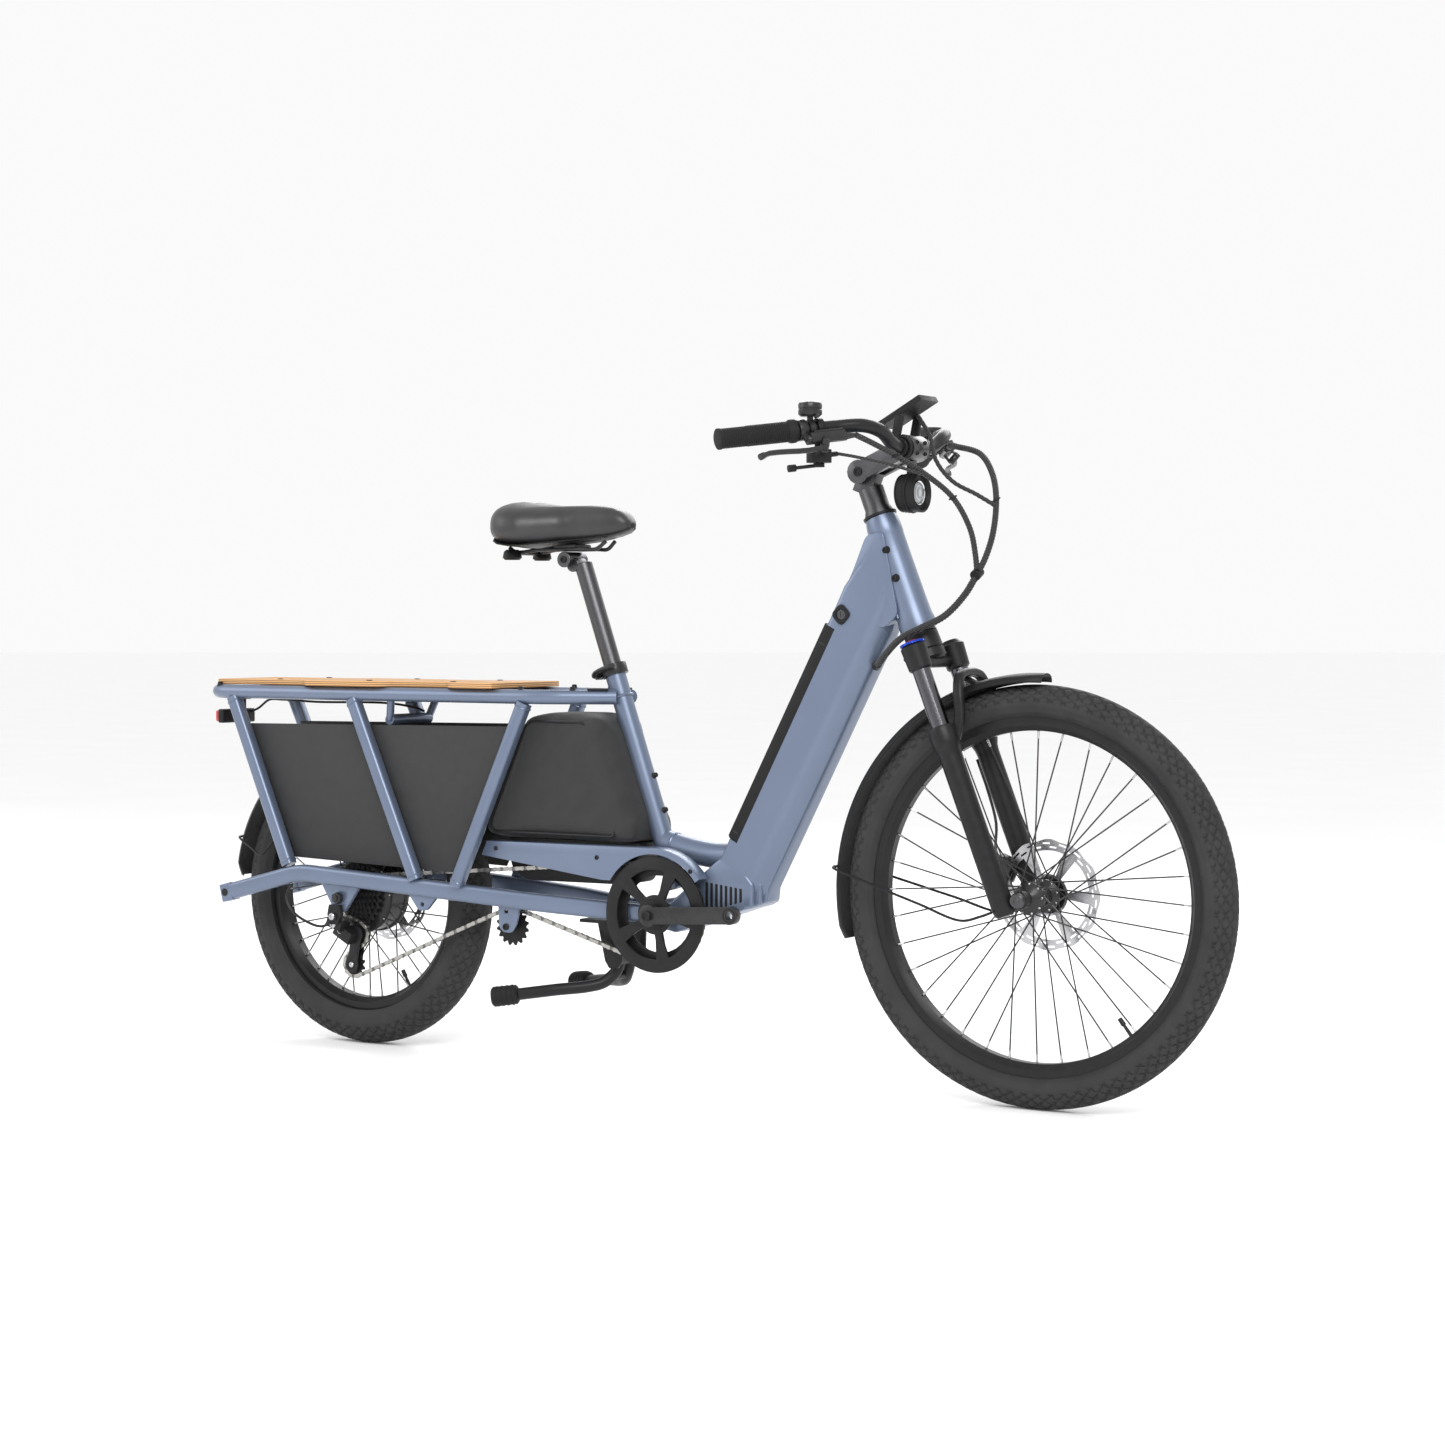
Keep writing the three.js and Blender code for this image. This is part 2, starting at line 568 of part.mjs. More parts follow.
// Fabric-covered flat board inside the struts, leaning with them.
function sidePanel(side) {
  const board = sidePlate([[-222, 588], [392, 594], [258, 332], [-112, 344]], -1.5, 1.5);
  const geometry = toGeometry(board);
  const lean = (LOWER_RAIL_HALF_WIDTH - RACK_HALF_WIDTH) / (RACK_Z - LOWER_RAIL_Z);
  const shear = new THREE.Matrix4().set(1, 0, 0, 0, 0, 1, -lean * side, 0, 0, 0, 1, 0, 0, 0, 0, 1);
  geometry.applyMatrix4(shear);
  const inset = STRUT_SIZE / 2 + 3.5;
  geometry.translate(0, side * (sideY(0) - inset), 0);
  return solid(geometry);
}

const DECK_REAR_X = -292;
const DECK_FRONT_X = 358;

// Half width of the board: two wide wings over the rails, narrower between them.
function deckHalfWidth(x) {
  const wings = [[-62, 96], [268, 372]];
  const blend = 26;
  let width = 81;
  for (const [from, to] of wings) {
    const rise = THREE.MathUtils.smoothstep(x, from - blend, from);
    const fall = 1 - THREE.MathUtils.smoothstep(x, to, to + blend);
    width = Math.max(width, 81 + 21 * Math.min(rise, fall));
  }
  return width;
}

function deckBoard() {
  const stations = [];
  for (let x = DECK_REAR_X; x < DECK_FRONT_X; x += 12) stations.push(x);
  stations.push(DECK_FRONT_X);
  const needed = stations.filter((x, i) => {
    const bends = [x - 12, x + 12].some((near) => Math.abs(deckHalfWidth(near) - deckHalfWidth(x)) > 0.01);
    return i === 0 || i === stations.length - 1 || bends;
  });
  const right = needed.map((x) => [x, -deckHalfWidth(x)]);
  const left = [...needed].reverse().map((x) => [x, deckHalfWidth(x)]);
  const board = flatPlate([...right, ...left], DECK_Z, DECK_Z + DECK_THICKNESS);
  const slots = [-180, 180].map((x) => flatPlate(slotShape(x, 0, 120, 26), DECK_Z - 5, DECK_Z + 20, 6));
  return cut(board, slots);
}

// Long hole with round ends, lying along X.
function slotShape(centreX, centreY, length, width) {
  const shape = new THREE.Shape();
  const half = (length - width) / 2;
  shape.absarc(centreX + half, centreY, width / 2, -Math.PI / 2, Math.PI / 2);
  shape.absarc(centreX - half, centreY, width / 2, Math.PI / 2, 1.5 * Math.PI);
  return shape;
}

function tailLight() {
  const lamp = block(v3(24, 92, 27), v3(-324.6, 0, 598.5));
  const bracket = block(v3(6, 30, 30), v3(-311, 0, 618));
  const foot = block(v3(22, 30, 4), v3(-307, 0, RACK_Z - 15.4));
  const lead = hose([
    v3(-316, 34, 604), v3(-296, 36, 612), v3(-268, 34, 628), v3(-232, 32, 629), v3(-150, 34, 626),
    v3(20, 38, 626), v3(80, 42, 618), v3(96, 44, 612.6),
  ], 2.2, 12, 6);
  return join(lamp, bracket, foot, lead);
}

add('rack_loop', rackLoop(), BLUE_PAINT);
add('side_frame_right', sideFrame(RIGHT), BLUE_PAINT);
add('side_frame_left', sideFrame(LEFT), BLUE_PAINT);
add('side_panel_right', sidePanel(RIGHT), PANEL_COMPOSITE);
add('side_panel_left', sidePanel(LEFT), PANEL_COMPOSITE);
add('deck_board', deckBoard(), PLYWOOD);
add('tail_light', tailLight(), LENS_RED);

// ---------------------------------------------------------------- storage bag and fenders
function storageBag() {
  const upper = sidePlate([
    [302, 396], [396, 606], [412, 616], [566, 616], [580, 604], [640, 420], [636, 396],
  ], -62, 62);
  const lower = sidePlate([[346, 398], [640, 398], [610, 322], [380, 320], [352, 340]], -40, 40);
  const carve = seatTubeRod(SEAT_TUBE_RADIUS + 2.5, 330, 690);
  const front = block(v3(80, 80, 400), onSeatTube(500).add(v3(46, 0, 0)), -Math.atan(SEAT_TUBE_SLOPE));
  return cut(join(upper, lower), carve, front);
}

// Ring-shaped fender: a shallow channel around a wheel, kept between two angles.
function fenderArc(centre, crownRadius, halfWidth, fromDegrees, toDegrees) {
  const t = FENDER_THICKNESS;
  const edge = crownRadius - 12;
  const ring = turned([
    [edge - t, -halfWidth], [edge, -halfWidth], [crownRadius - 3, -halfWidth * 0.7], [crownRadius, 0],
    [crownRadius - 3, halfWidth * 0.7], [edge, halfWidth], [edge - t, halfWidth],
    [crownRadius - 3 - t, halfWidth * 0.62], [crownRadius - t, 0], [crownRadius - 3 - t, -halfWidth * 0.62],
    [edge - t, -halfWidth],
  ], centre, Y_AXIS, WHEEL_SEGMENTS);
  const sector = [[centre.x, centre.z]];
  const steps = Math.ceil((toDegrees - fromDegrees) / 30);
  for (let i = 0; i <= steps; i++) {
    const angle = THREE.MathUtils.degToRad(fromDegrees + ((toDegrees - fromDegrees) * i) / steps);
    sector.push([centre.x + 500 * Math.cos(angle), centre.z + 500 * Math.sin(angle)]);
  }
  return ring.intersect(sidePlate(sector, -60, 60));
}

const REAR_FENDER_RADIUS = 297;
const FRONT_FENDER_RADIUS = 358;

function rearFender() {
  const shell = fenderArc(REAR_AXLE, REAR_FENDER_RADIUS, 41, 22, 175.5);
  const stays = [LEFT, RIGHT].map((side) => hose([
    v3(-279, side * 30, 372), v3(-276, side * 43, 371), v3(-240, side * 56, 356), v3(-203, side * 66, 343),
    v3(-176, side * 72, 362), v3(-150, side * 77, 384),
  ], 2.2, 9, 6));
  const bridge = pin(-280.2, 372, -31, 31, 2.2, 8);
  const saddleStay = block(v3(16, 40, 14), v3(96, 0, 564));
  const post = rod(v3(96, 0, 552), v3(96, 0, 589.2), 5, 5, 10);
  return join(shell, stays, bridge, saddleStay, post);
}

add('storage_bag', storageBag(), BAG_FABRIC);
add('rear_fender', rearFender(), BLACK_PLASTIC);

// ---------------------------------------------------------------- chain guard and kickstand
function chainGuard() {
  const centreX = BOTTOM_BRACKET_X;
  const centreZ = BOTTOM_BRACKET_Z;
  const face = new THREE.Shape();
  const inner = 103.5;
  const outer = 114;
  const guardStart = THREE.MathUtils.degToRad(94);
  const guardEnd = THREE.MathUtils.degToRad(35);
  face.moveTo(313, 366);
  face.lineTo(325, 391);
  face.lineTo(centreX - 8, 393);
  face.absarc(centreX, centreZ, outer, guardStart, guardEnd, true);
  face.absarc(centreX, centreZ, inner, guardEnd, THREE.MathUtils.degToRad(148), false);
  face.lineTo(centreX - 106, 334);
  const cheek = sidePlate(face, -73, -70, 9);
  const top = new THREE.Shape();
  top.moveTo(321, 388);
  top.lineTo(325, 391);
  top.lineTo(centreX - 8, 393);
  top.absarc(centreX, centreZ, outer, guardStart, guardEnd, true);
  top.absarc(centreX, centreZ, outer - 2.5, guardEnd, guardStart, false);
  top.lineTo(325, 388.4);
  const flange = sidePlate(top, -71, -44.5, 9);
  const tab = block(v3(18, 23, 4), v3(653, -34.5, 390.6));
  return cut(join(cheek, flange, tab), seatTubeRod(SEAT_TUBE_RADIUS + FIT_GAP, 330, 450));
}

const STAND_PIVOT = v3(570, 0, 193);

function kickstandBracket() {
  const top = block(v3(92, 84, 6), v3(548, 0, 257.4));
  const cheeks = [LEFT, RIGHT].map((side) => sidePlate([
    [538, 255], [590, 255], [588, 190], [580, 178], [562, 177], [553, 190],
  ], Math.min(side * 33, side * 39), Math.max(side * 33, side * 39)));
  const hinge = pin(STAND_PIVOT.x, STAND_PIVOT.z, -36, 36, 5, 12);
  return join(top, cheeks, hinge);
}

const STAND_FOOT = v3(376, 126, 124);

function kickstandLegs() {
  const hub = pin(STAND_PIVOT.x, STAND_PIVOT.z, -32, 32, 12.5);
  const legs = [LEFT, RIGHT].map((side) => {
    const web = hose([v3(570, side * 17, 193), v3(564, side * 19, 171), v3(548, side * 33, 152)], 10, 4, 8);
    const tube = hose([
      v3(550, side * 32, 154), v3(528, side * 50, 145), v3(480, side * 80, 139), v3(410, side * 112, 129),
    ], 11, 5, 8);
    const tip = v3(STAND_FOOT.x, side * STAND_FOOT.y, STAND_FOOT.z);
    const foot = rod(v3(418, side * 108, 130), tip, 18, 18, 12);
    return [web, tube, foot];
  });
  const pinHole = pin(STAND_PIVOT.x, STAND_PIVOT.z, -60, 60, 5.6, 12);
  return cut(join(hub, legs.flat()), pinHole);
}

add('chain_guard', chainGuard(), BLUE_PAINT);
add('kickstand_bracket', kickstandBracket(), BLACK_METAL);
add('kickstand_legs', kickstandLegs(), BLACK_METAL);

// ---------------------------------------------------------------- wheels
function tyre(centre, wheel) {
  const { tyreRadius: r, beadRadius: bead, halfTyre: w, halfRim: rim } = wheel;
  const height = r - bead;
  const profile = [
    [bead + 0.5, -rim + 1], [bead + 0.45 * height, -w], [r - 12, -w * 0.88], [r - 2.5, -w * 0.5],
    [r, 0], [r - 2.5, w * 0.5], [r - 12, w * 0.88], [bead + 0.45 * height, w], [bead + 0.5, rim - 1],
    [bead + 0.5, -rim + 1],
  ];
  return turned(profile, centre, Y_AXIS, WHEEL_SEGMENTS);
}

function rim(centre, wheel) {
  const { beadRadius: bead, rimRadius: inner, halfRim: w } = wheel;
  const profile = [
    [inner, -w * 0.45], [inner + 9, -w * 0.95], [bead, -w], [bead, w],
    [inner + 9, w * 0.95], [inner, w * 0.45], [inner, -w * 0.45],
  ];
  return turned(profile, centre, Y_AXIS, WHEEL_SEGMENTS);
}

const SPOKE_COUNT = 36;
const SPOKE_OFFSET = 2.1;

// Spokes leave two flanges in tangential pairs and stop just under the rim.
function spokes(centre, flangeRadius, flangeY, rimRadius, crossing) {
  const pieces = [];
  for (let i = 0; i < SPOKE_COUNT; i++) {
    const side = i % 2 === 0 ? 0 : 1;
    const lean = i % 4 < 2 ? crossing : -crossing;
    const rimAngle = (2 * Math.PI * i) / SPOKE_COUNT;
    const hubAngle = rimAngle + lean;
    const across = flangeY[side] + (lean > 0 ? SPOKE_OFFSET : -SPOKE_OFFSET);
    const from = v3(
      centre.x + flangeRadius * Math.cos(hubAngle), across, centre.z + flangeRadius * Math.sin(hubAngle));
    const reach = rimRadius - 1.6;
    const rimY = Math.sign(flangeY[side]) * 3;
    const to = v3(centre.x + reach * Math.cos(rimAngle), rimY, centre.z + reach * Math.sin(rimAngle));
    pieces.push(rod(from, to, 1.2, 1.2, 3));
  }
  return join(pieces);
}

function frontHub() {
  const shell = turned([
    [AXLE_BORE, -52], [11, -52], [11, -38], [27, -31], [27, -27], [16, -22], [16, 20],
    [27, 25], [27, 29], [19, 33], [19, 40.6], [11, 41], [11, 52], [AXLE_BORE, 52], [AXLE_BORE, -52],
  ], FRONT_AXLE, Y_AXIS, 14);
  return join(shell, spokes(FRONT_AXLE, 24, [-29, 27], FRONT_WHEEL.rimRadius, 0.95));
}

function hubMotor() {
  const shell = turned([
    [AXLE_BORE, -32], [22, -32], [64, -27], [70, -22], [70, 30], [64, 36], [22, 44],
    [22, 58], [AXLE_BORE, 58], [AXLE_BORE, -32],
  ], REAR_AXLE, Y_AXIS, 22);
  return join(shell, spokes(REAR_AXLE, 67, [-20, 27], REAR_WHEEL.rimRadius, 0.3));
}

// Brake rotor: ring, hub band and six raked arms.
function brakeDisc(centre, y, hubRadius) {
  const band = (outer, inner) => turned([
    [inner, y], [outer, y], [outer, y + DISC_THICKNESS], [inner, y + DISC_THICKNESS], [inner, y],
  ], v3(centre.x, 0, centre.z), Y_AXIS, 22);
  const arms = [];
  for (let i = 0; i < 6; i++) {
    const angle = (2 * Math.PI * i) / 6;
    const arm = new THREE.BoxGeometry(50, DISC_THICKNESS, 9);
    arm.rotateY(0.45);
    arm.translate(50, 0, 0);
    arm.rotateY(angle);
    arm.translate(centre.x, y + DISC_THICKNESS / 2, centre.z);
    arms.push(solid(arm));
  }
  return join(band(DISC_RADIUS, DISC_RADIUS - 17), band(hubRadius + 12, hubRadius), arms);
}

const FRONT_DISC_Y = 41.6;
const REAR_DISC_Y = 60;

add('front_tyre', tyre(FRONT_AXLE, FRONT_WHEEL), TYRE_RUBBER);
add('front_rim', rim(FRONT_AXLE, FRONT_WHEEL), BLACK_METAL);
add('front_hub', frontHub(), BLACK_METAL);
add('front_disc', brakeDisc(FRONT_AXLE, FRONT_DISC_Y, 20), BARE_STEEL);
add('rear_tyre', tyre(REAR_AXLE, REAR_WHEEL), TYRE_RUBBER);
add('rear_rim', rim(REAR_AXLE, REAR_WHEEL), BLACK_METAL);
add('hub_motor', hubMotor(), BLACK_METAL);
add('rear_disc', brakeDisc(REAR_AXLE, REAR_DISC_Y, 16), BARE_STEEL);

function rearAxle() {
  const halfLength = 100;
  const shaft = pin(0, REAR_AXLE.z, -halfLength, halfLength, AXLE_RADIUS);
  const nuts = [LEFT, RIGHT].map((side) => pin(0, REAR_AXLE.z, side * 86.4, side * 96, 11, 6));
  const spacers = [LEFT, RIGHT].map((side) => pin(0, REAR_AXLE.z, side * 71, side * 75.6, 10));
  return join(shaft, nuts, spacers);
}

// Space a disc turns in, cut out of its caliper.
function discSlot(centre, discY) {
  const near = discY - 1.4;
  const far = discY + DISC_THICKNESS + 1.4;
  const edge = DISC_RADIUS + 2.5;
  const profile = [[40, near], [edge, near], [edge, far], [40, far], [40, near]];
  return turned(profile, centre, Y_AXIS, WHEEL_SEGMENTS);
}

function rearCaliper() {
  const body = block(v3(46, 28, 34), v3(62, 60.4, REAR_AXLE.z + 62), 0.7);
  const foot = block(v3(24, 9, 40), v3(44, 71, REAR_AXLE.z + 46), 0.5);
  return cut(join(body, foot), discSlot(REAR_AXLE, REAR_DISC_Y));
}

add('rear_axle', rearAxle(), BLACK_METAL);
add('rear_caliper', rearCaliper(), BLACK_METAL);

// ---------------------------------------------------------------- drivetrain
const CHAIN_WHEELS = [
  { centre: v3(BOTTOM_BRACKET_X, 0, BOTTOM_BRACKET_Z), teeth: CHAINRING_TEETH, turn: 1 },
  { centre: v3(IDLER_CENTRE.x, 0, IDLER_CENTRE.z), teeth: IDLER_TEETH, turn: -1 },
  { centre: v3(8, 0, 150), teeth: PULLEY_TEETH, turn: 1 },
  { centre: v3(18, 0, 206), teeth: PULLEY_TEETH, turn: -1 },
  { centre: v3(0, 0, REAR_AXLE.z), teeth: SPROCKET_TEETH, turn: 1 },
];

// Direction from each wheel's centre to the straight run between two toothed wheels.
function tangentAngle(a, b) {
  const ra = a.turn * pitchRadius(a.teeth);
  const rb = b.turn * pitchRadius(b.teeth);
  const dx = b.centre.x - a.centre.x;
  const dz = b.centre.z - a.centre.z;
  const distance = Math.hypot(dx, dz);
  return Math.atan2(dz, dx) + Math.PI / 2 - Math.asin((ra - rb) / distance);
}

// Angle the chain wraps: clockwise on wheels inside the loop, the other way on those outside it.
function wrapAngle(start, end, turn) {
  const full = 2 * Math.PI;
  const clockwise = (((start - end) % full) + full) % full;
  return turn > 0 ? -clockwise : full - clockwise;
}

function chainPath(offset) {
  const points = [];
  const count = CHAIN_WHEELS.length;
  for (let i = 0; i < count; i++) {
    const wheel = CHAIN_WHEELS[i];
    const before = CHAIN_WHEELS[(i + count - 1) % count];
    const after = CHAIN_WHEELS[(i + 1) % count];
    const start = tangentAngle(before, wheel);
    const signed = wheel.turn * pitchRadius(wheel.teeth) + offset;
    const wrap = wrapAngle(start, tangentAngle(wheel, after), wheel.turn);
    const steps = Math.max(2, Math.ceil(Math.abs(wrap) / 0.3));
    for (let k = 0; k <= steps; k++) {
      const angle = start + (wrap * k) / steps;
      points.push([wheel.centre.x + signed * Math.cos(angle), wheel.centre.z + signed * Math.sin(angle)]);
    }
  }
  return points;
}

function chain() {
  const outerLoop = sidePlate(chainPath(CHAIN_HALF_HEIGHT), CHAIN_LINE_Y - 3.5, CHAIN_LINE_Y + 3.5);
  const innerLoop = sidePlate(chainPath(-CHAIN_HALF_HEIGHT), CHAIN_LINE_Y - 10, CHAIN_LINE_Y + 10);
  return cut(outerLoop, innerLoop);
}

// Toothed wheel whose tips stop just inside the chain band.
function toothedOutline(teeth, radius) {
  const points = [];
  for (let i = 0; i < 2 * teeth; i++) {
    const angle = (Math.PI * i) / teeth;
    const r = i % 2 === 0 ? radius : radius - 3;
    points.push([r * Math.cos(angle), r * Math.sin(angle)]);
  }
  return points;
}

function toothedWheel(teeth, centre, halfThickness, boreRadius) {
  const tip = pitchRadius(teeth) - CHAIN_HALF_HEIGHT - 0.9;
  const shape = outline(toothedOutline(teeth, tip).map(([x, z]) => [x + centre.x, z + centre.z]));
  const wheel = sidePlate(shape, CHAIN_LINE_Y - halfThickness, CHAIN_LINE_Y + halfThickness);
  const bore = pin(centre.x, centre.z, -90, -10, boreRadius, 16);
  return cut(wheel, bore);
}

function chainring() {
  const centre = CHAIN_WHEELS[0].centre;
  const sprocket = toothedWheel(CHAINRING_TEETH, centre, 1.6, 70);
  const guardDisc = turned([
    [79, CHAIN_LINE_Y - 16], [100, CHAIN_LINE_Y - 16], [100, CHAIN_LINE_Y - 12], [79, CHAIN_LINE_Y - 12],
    [79, CHAIN_LINE_Y - 16],
  ], centre, Y_AXIS, 30);
  const collar = turned([
    [78, CHAIN_LINE_Y - 13], [81, CHAIN_LINE_Y - 13], [81, CHAIN_LINE_Y + 1], [78, CHAIN_LINE_Y + 1],
    [78, CHAIN_LINE_Y - 13],
  ], centre, Y_AXIS, 22);
  const boss = pin(centre.x, centre.z, CHAIN_LINE_Y - 17, CHAIN_LINE_Y - 6, 25, 14);
  const arms = [];
  for (let i = 0; i < 5; i++) {
    const arm = new THREE.BoxGeometry(64, 8, 15);
    arm.translate(50, 0, 0);
    arm.rotateY((2 * Math.PI * i) / 5 - 0.1);
    arm.translate(centre.x, CHAIN_LINE_Y - 12, centre.z);
    arms.push(solid(arm));
  }
  const spindleHole = pin(centre.x, centre.z, -90, -30, 14.4, 16);
  return cut(join(sprocket, guardDisc, collar, boss, arms), spindleHole);
}

// Right arm lies forwards, left arm rearwards; the left one carries the spindle.
function crankArm(side) {
  const centre = CHAIN_WHEELS[0].centre;
  const reach = -side * CRANK_LENGTH;
  const rise = -side * 10.5;
  const eye = v3(centre.x + reach, side * 100, centre.z + rise);
  const arm = new THREE.BoxGeometry(CRANK_LENGTH, 13, 29);
  arm.rotateZ(Math.atan2(side * 14, CRANK_LENGTH) * -side);
  arm.rotateY(-Math.atan2(rise * -side, CRANK_LENGTH));
  arm.translate((centre.x + eye.x) / 2, side * 88, (centre.z + eye.z) / 2);
  const rootBoss = pin(centre.x, centre.z, side * 70.4, side * 89, 19, 14);
  const eyeBoss = pin(eye.x, eye.z, side * 88, side * 102, 15.5, 14);
  const eyeHole = pin(eye.x, eye.z, side * 70, side * 120, 7, 16);
  return cut(join(solid(arm), rootBoss, eyeBoss), eyeHole);
}

function crankRight() {
  const centre = CHAIN_WHEELS[0].centre;
  const stub = pin(centre.x, centre.z, -72, -58.6, 14, 16);
  return join(crankArm(RIGHT), stub);
}

function crankLeft() {
  const centre = CHAIN_WHEELS[0].centre;
  const spindle = pin(centre.x, centre.z, -58.2, 72, 12, 16);
  return join(crankArm(LEFT), spindle);
}

const CASSETTE = [28, 24, 21, 18, 16, 14, 12];
const COG_SPACING = 4.7;

// Seven sprockets as one stepped stack; the chain lies on the fourth, over a relieved groove.
function cassette() {
  const centre = CHAIN_WHEELS[4].centre;
  const profile = [[AXLE_BORE, -34], [15, -34]];
  CASSETTE.forEach((teeth, i) => {
    const inner = CHAIN_LINE_Y + (3 - i) * COG_SPACING + 0.9;
    const outer = inner - (i < CASSETTE.length - 1 ? COG_SPACING : 1.8);
    const tip = pitchRadius(teeth) - (teeth === SPROCKET_TEETH ? CHAIN_HALF_HEIGHT + 0.9 : 0);
    const from = teeth === SPROCKET_TEETH ? inner + 2.7 : inner;
    profile.push([tip, from], [tip, outer + (CASSETTE[i + 1] === SPROCKET_TEETH ? 2.7 : 0)]);
  });
  profile.push([15, -67.1], [15, -69], [AXLE_BORE, -69], [AXLE_BORE, -34]);
  return turned(profile, centre, Y_AXIS, 18);
}

// Parallelogram body, hanger link, the two cage plates and the gear cable's last loop.
function derailleur() {
  const hangerBolt = pin(-4, 240, -99, -94, 8, 12);
  const hanger = sidePlate([[-16, 262], [8, 262], [12, 246], [4, 226], [-14, 226], [-20, 244]], -96, -88);
  const knuckle = block(v3(34, 26, 16), v3(-8, -80, 226), 0.3);
  const link = block(v3(40, 22, 22), v3(2, -70, 208), 0.5);
  const outerPlate = cagePlate(CHAIN_LINE_Y - 8.5, CHAIN_LINE_Y - 6);
  const innerPlate = cagePlate(CHAIN_LINE_Y + 6, CHAIN_LINE_Y + 8);
  const pins = [2, 3].map((i) => {
    const { centre } = CHAIN_WHEELS[i];
    return pin(centre.x, centre.z, CHAIN_LINE_Y - 7, CHAIN_LINE_Y + 7, 3.5);
  });
  const cable = hose([
    v3(-20, -84, 226), v3(-40, -90, 220), v3(-62, -97, 226), v3(-96, -103, 246), v3(-110, -104, 272),
    v3(-108, -100, 285), v3(-106, -97, 292.5),
  ], 2.6, 14, 6);
  return join(hangerBolt, hanger, knuckle, link, outerPlate, innerPlate, pins, cable);
}

function cagePlate(yFrom, yTo) {
  const [low, high] = [CHAIN_WHEELS[2].centre, CHAIN_WHEELS[3].centre];
  const y = (yFrom + yTo) / 2;
  const spine = bar(v3(low.x, y, low.z), v3(high.x, y, high.z), yTo - yFrom, 22, 0.2);
  const ends = [low, high].map((c) => pin(c.x, c.z, yFrom, yTo, 13, 14));
  return join(spine, ends);
}

add('chain', chain(), BARE_STEEL);
add('chainring', chainring(), BLACK_METAL);
add('crank_right', crankRight(), BLACK_METAL);
add('crank_left', crankLeft(), BLACK_METAL);
add('cassette', cassette(), BLACK_METAL);
add('idler_wheel', toothedWheel(IDLER_TEETH, CHAIN_WHEELS[1].centre, 1.6, 5.7), BLACK_PLASTIC);
add('tension_pulley', toothedWheel(PULLEY_TEETH, CHAIN_WHEELS[2].centre, 1.6, 4.2), BLACK_PLASTIC);
add('guide_pulley', toothedWheel(PULLEY_TEETH, CHAIN_WHEELS[3].centre, 1.6, 4.2), BLACK_PLASTIC);
add('derailleur', derailleur(), BLACK_METAL);

// ---------------------------------------------------------------- suspension fork
const CROWN_TOP = 468;
const LEG_SOCKET_TOP = 449;
const LOWERS_TOP = 302;

function forkCrown() {
  const hub = rod(onFork(438), onFork(CROWN_TOP), 29, 29, 16);
  const race = rod(onFork(CROWN_TOP - 1), onFork(CROWN_TOP + 4.4), 28, 26, 16);
  const steerer = rod(onFork(450), onFork(716), 14.3, 14.3, 14);
  const shoulder = new THREE.BoxGeometry(34, 2 * FORK_LEG_Y, 18);
  shoulder.rotateY(Math.PI / 2 - HEAD_ANGLE);
  const middle = onFork(422, 1);
  shoulder.translate(middle.x, 0, middle.z);
  const legs = [LEFT, RIGHT].map((side) => {
    const y = side * FORK_LEG_Y;
    const f = FORK_LEG_FORWARD;
    const socket = rod(onFork(400, f, y), onFork(LEG_SOCKET_TOP - 6, f, y), 19, 21.5, 16);
    const stanchion = rod(onFork(205, f, y), onFork(420, f, y), STANCHION_RADIUS, STANCHION_RADIUS, 16);
    return join(socket, stanchion);
  });
  const onLeg = (height) => onFork(height, FORK_LEG_FORWARD, FORK_LEG_Y);
  const cap = rod(onLeg(LEG_SOCKET_TOP - 8), onLeg(LEG_SOCKET_TOP), 17);
  return join(hub, race, steerer, solid(shoulder), legs, cap);
}

function preloadDial() {
  const from = onFork(LEG_SOCKET_TOP - 5.6, FORK_LEG_FORWARD, -FORK_LEG_Y);
  const to = onFork(LEG_SOCKET_TOP, FORK_LEG_FORWARD, -FORK_LEG_Y);
  return rod(from, to, 20.5, 18.5, 12);
}

function forkLowers() {
  const f = FORK_LEG_FORWARD;
  const legs = [LEFT, RIGHT].map((side) => {
    const y = side * FORK_LEG_Y;
    const leg = turned([
      [0, -16], [14, -16], [18.5, -8], [18.5, 258], [23, 272], [23, LOWERS_TOP], [0, LOWERS_TOP],
    ], onFork(0, f, y), STEER_UP, 16);
    const dropout = rod(onFork(0, FORK_OFFSET, side * 53), onFork(0, FORK_OFFSET, side * 66), 15, 15, 14);
    const web = bar(onFork(-2, f + 4, side * 60), onFork(0, FORK_OFFSET - 4, side * 60), 11, 24, 2);
    return join(leg, dropout, web);
  });
  const archPoints = [
    onFork(276, f + 14, -60), onFork(306, f + 32, -56), onFork(346, f + 42, -51), onFork(370, f + 46, -38),
    onFork(377, f + 47, -18), onFork(378, f + 47, 0),
  ];
  const mirrored = archPoints.slice(0, -1).reverse().map((p) => v3(p.x, -p.y, p.z));
  const arch = hose([...archPoints, ...mirrored], 8.5, 16, 6);
  const axle = rod(onFork(0, FORK_OFFSET, -76), onFork(0, FORK_OFFSET, 76), AXLE_RADIUS, AXLE_RADIUS, 16);
  const head = rod(onFork(0, FORK_OFFSET, -78), onFork(0, FORK_OFFSET, -65), 12, 12, 16);
  const bores = [LEFT, RIGHT].map((side) => {
    const y = side * FORK_LEG_Y;
    const boreRadius = STANCHION_RADIUS + 0.6;
    return rod(onFork(110, f, y), onFork(LOWERS_TOP + 30, f, y), boreRadius, boreRadius, 16);
  });
  const hubSpace = rod(onFork(0, FORK_OFFSET, -52.6), onFork(0, FORK_OFFSET, 52.6), 13, 13, 14);
  return join(cut(join(legs, arch), bores, hubSpace), axle, head);
}

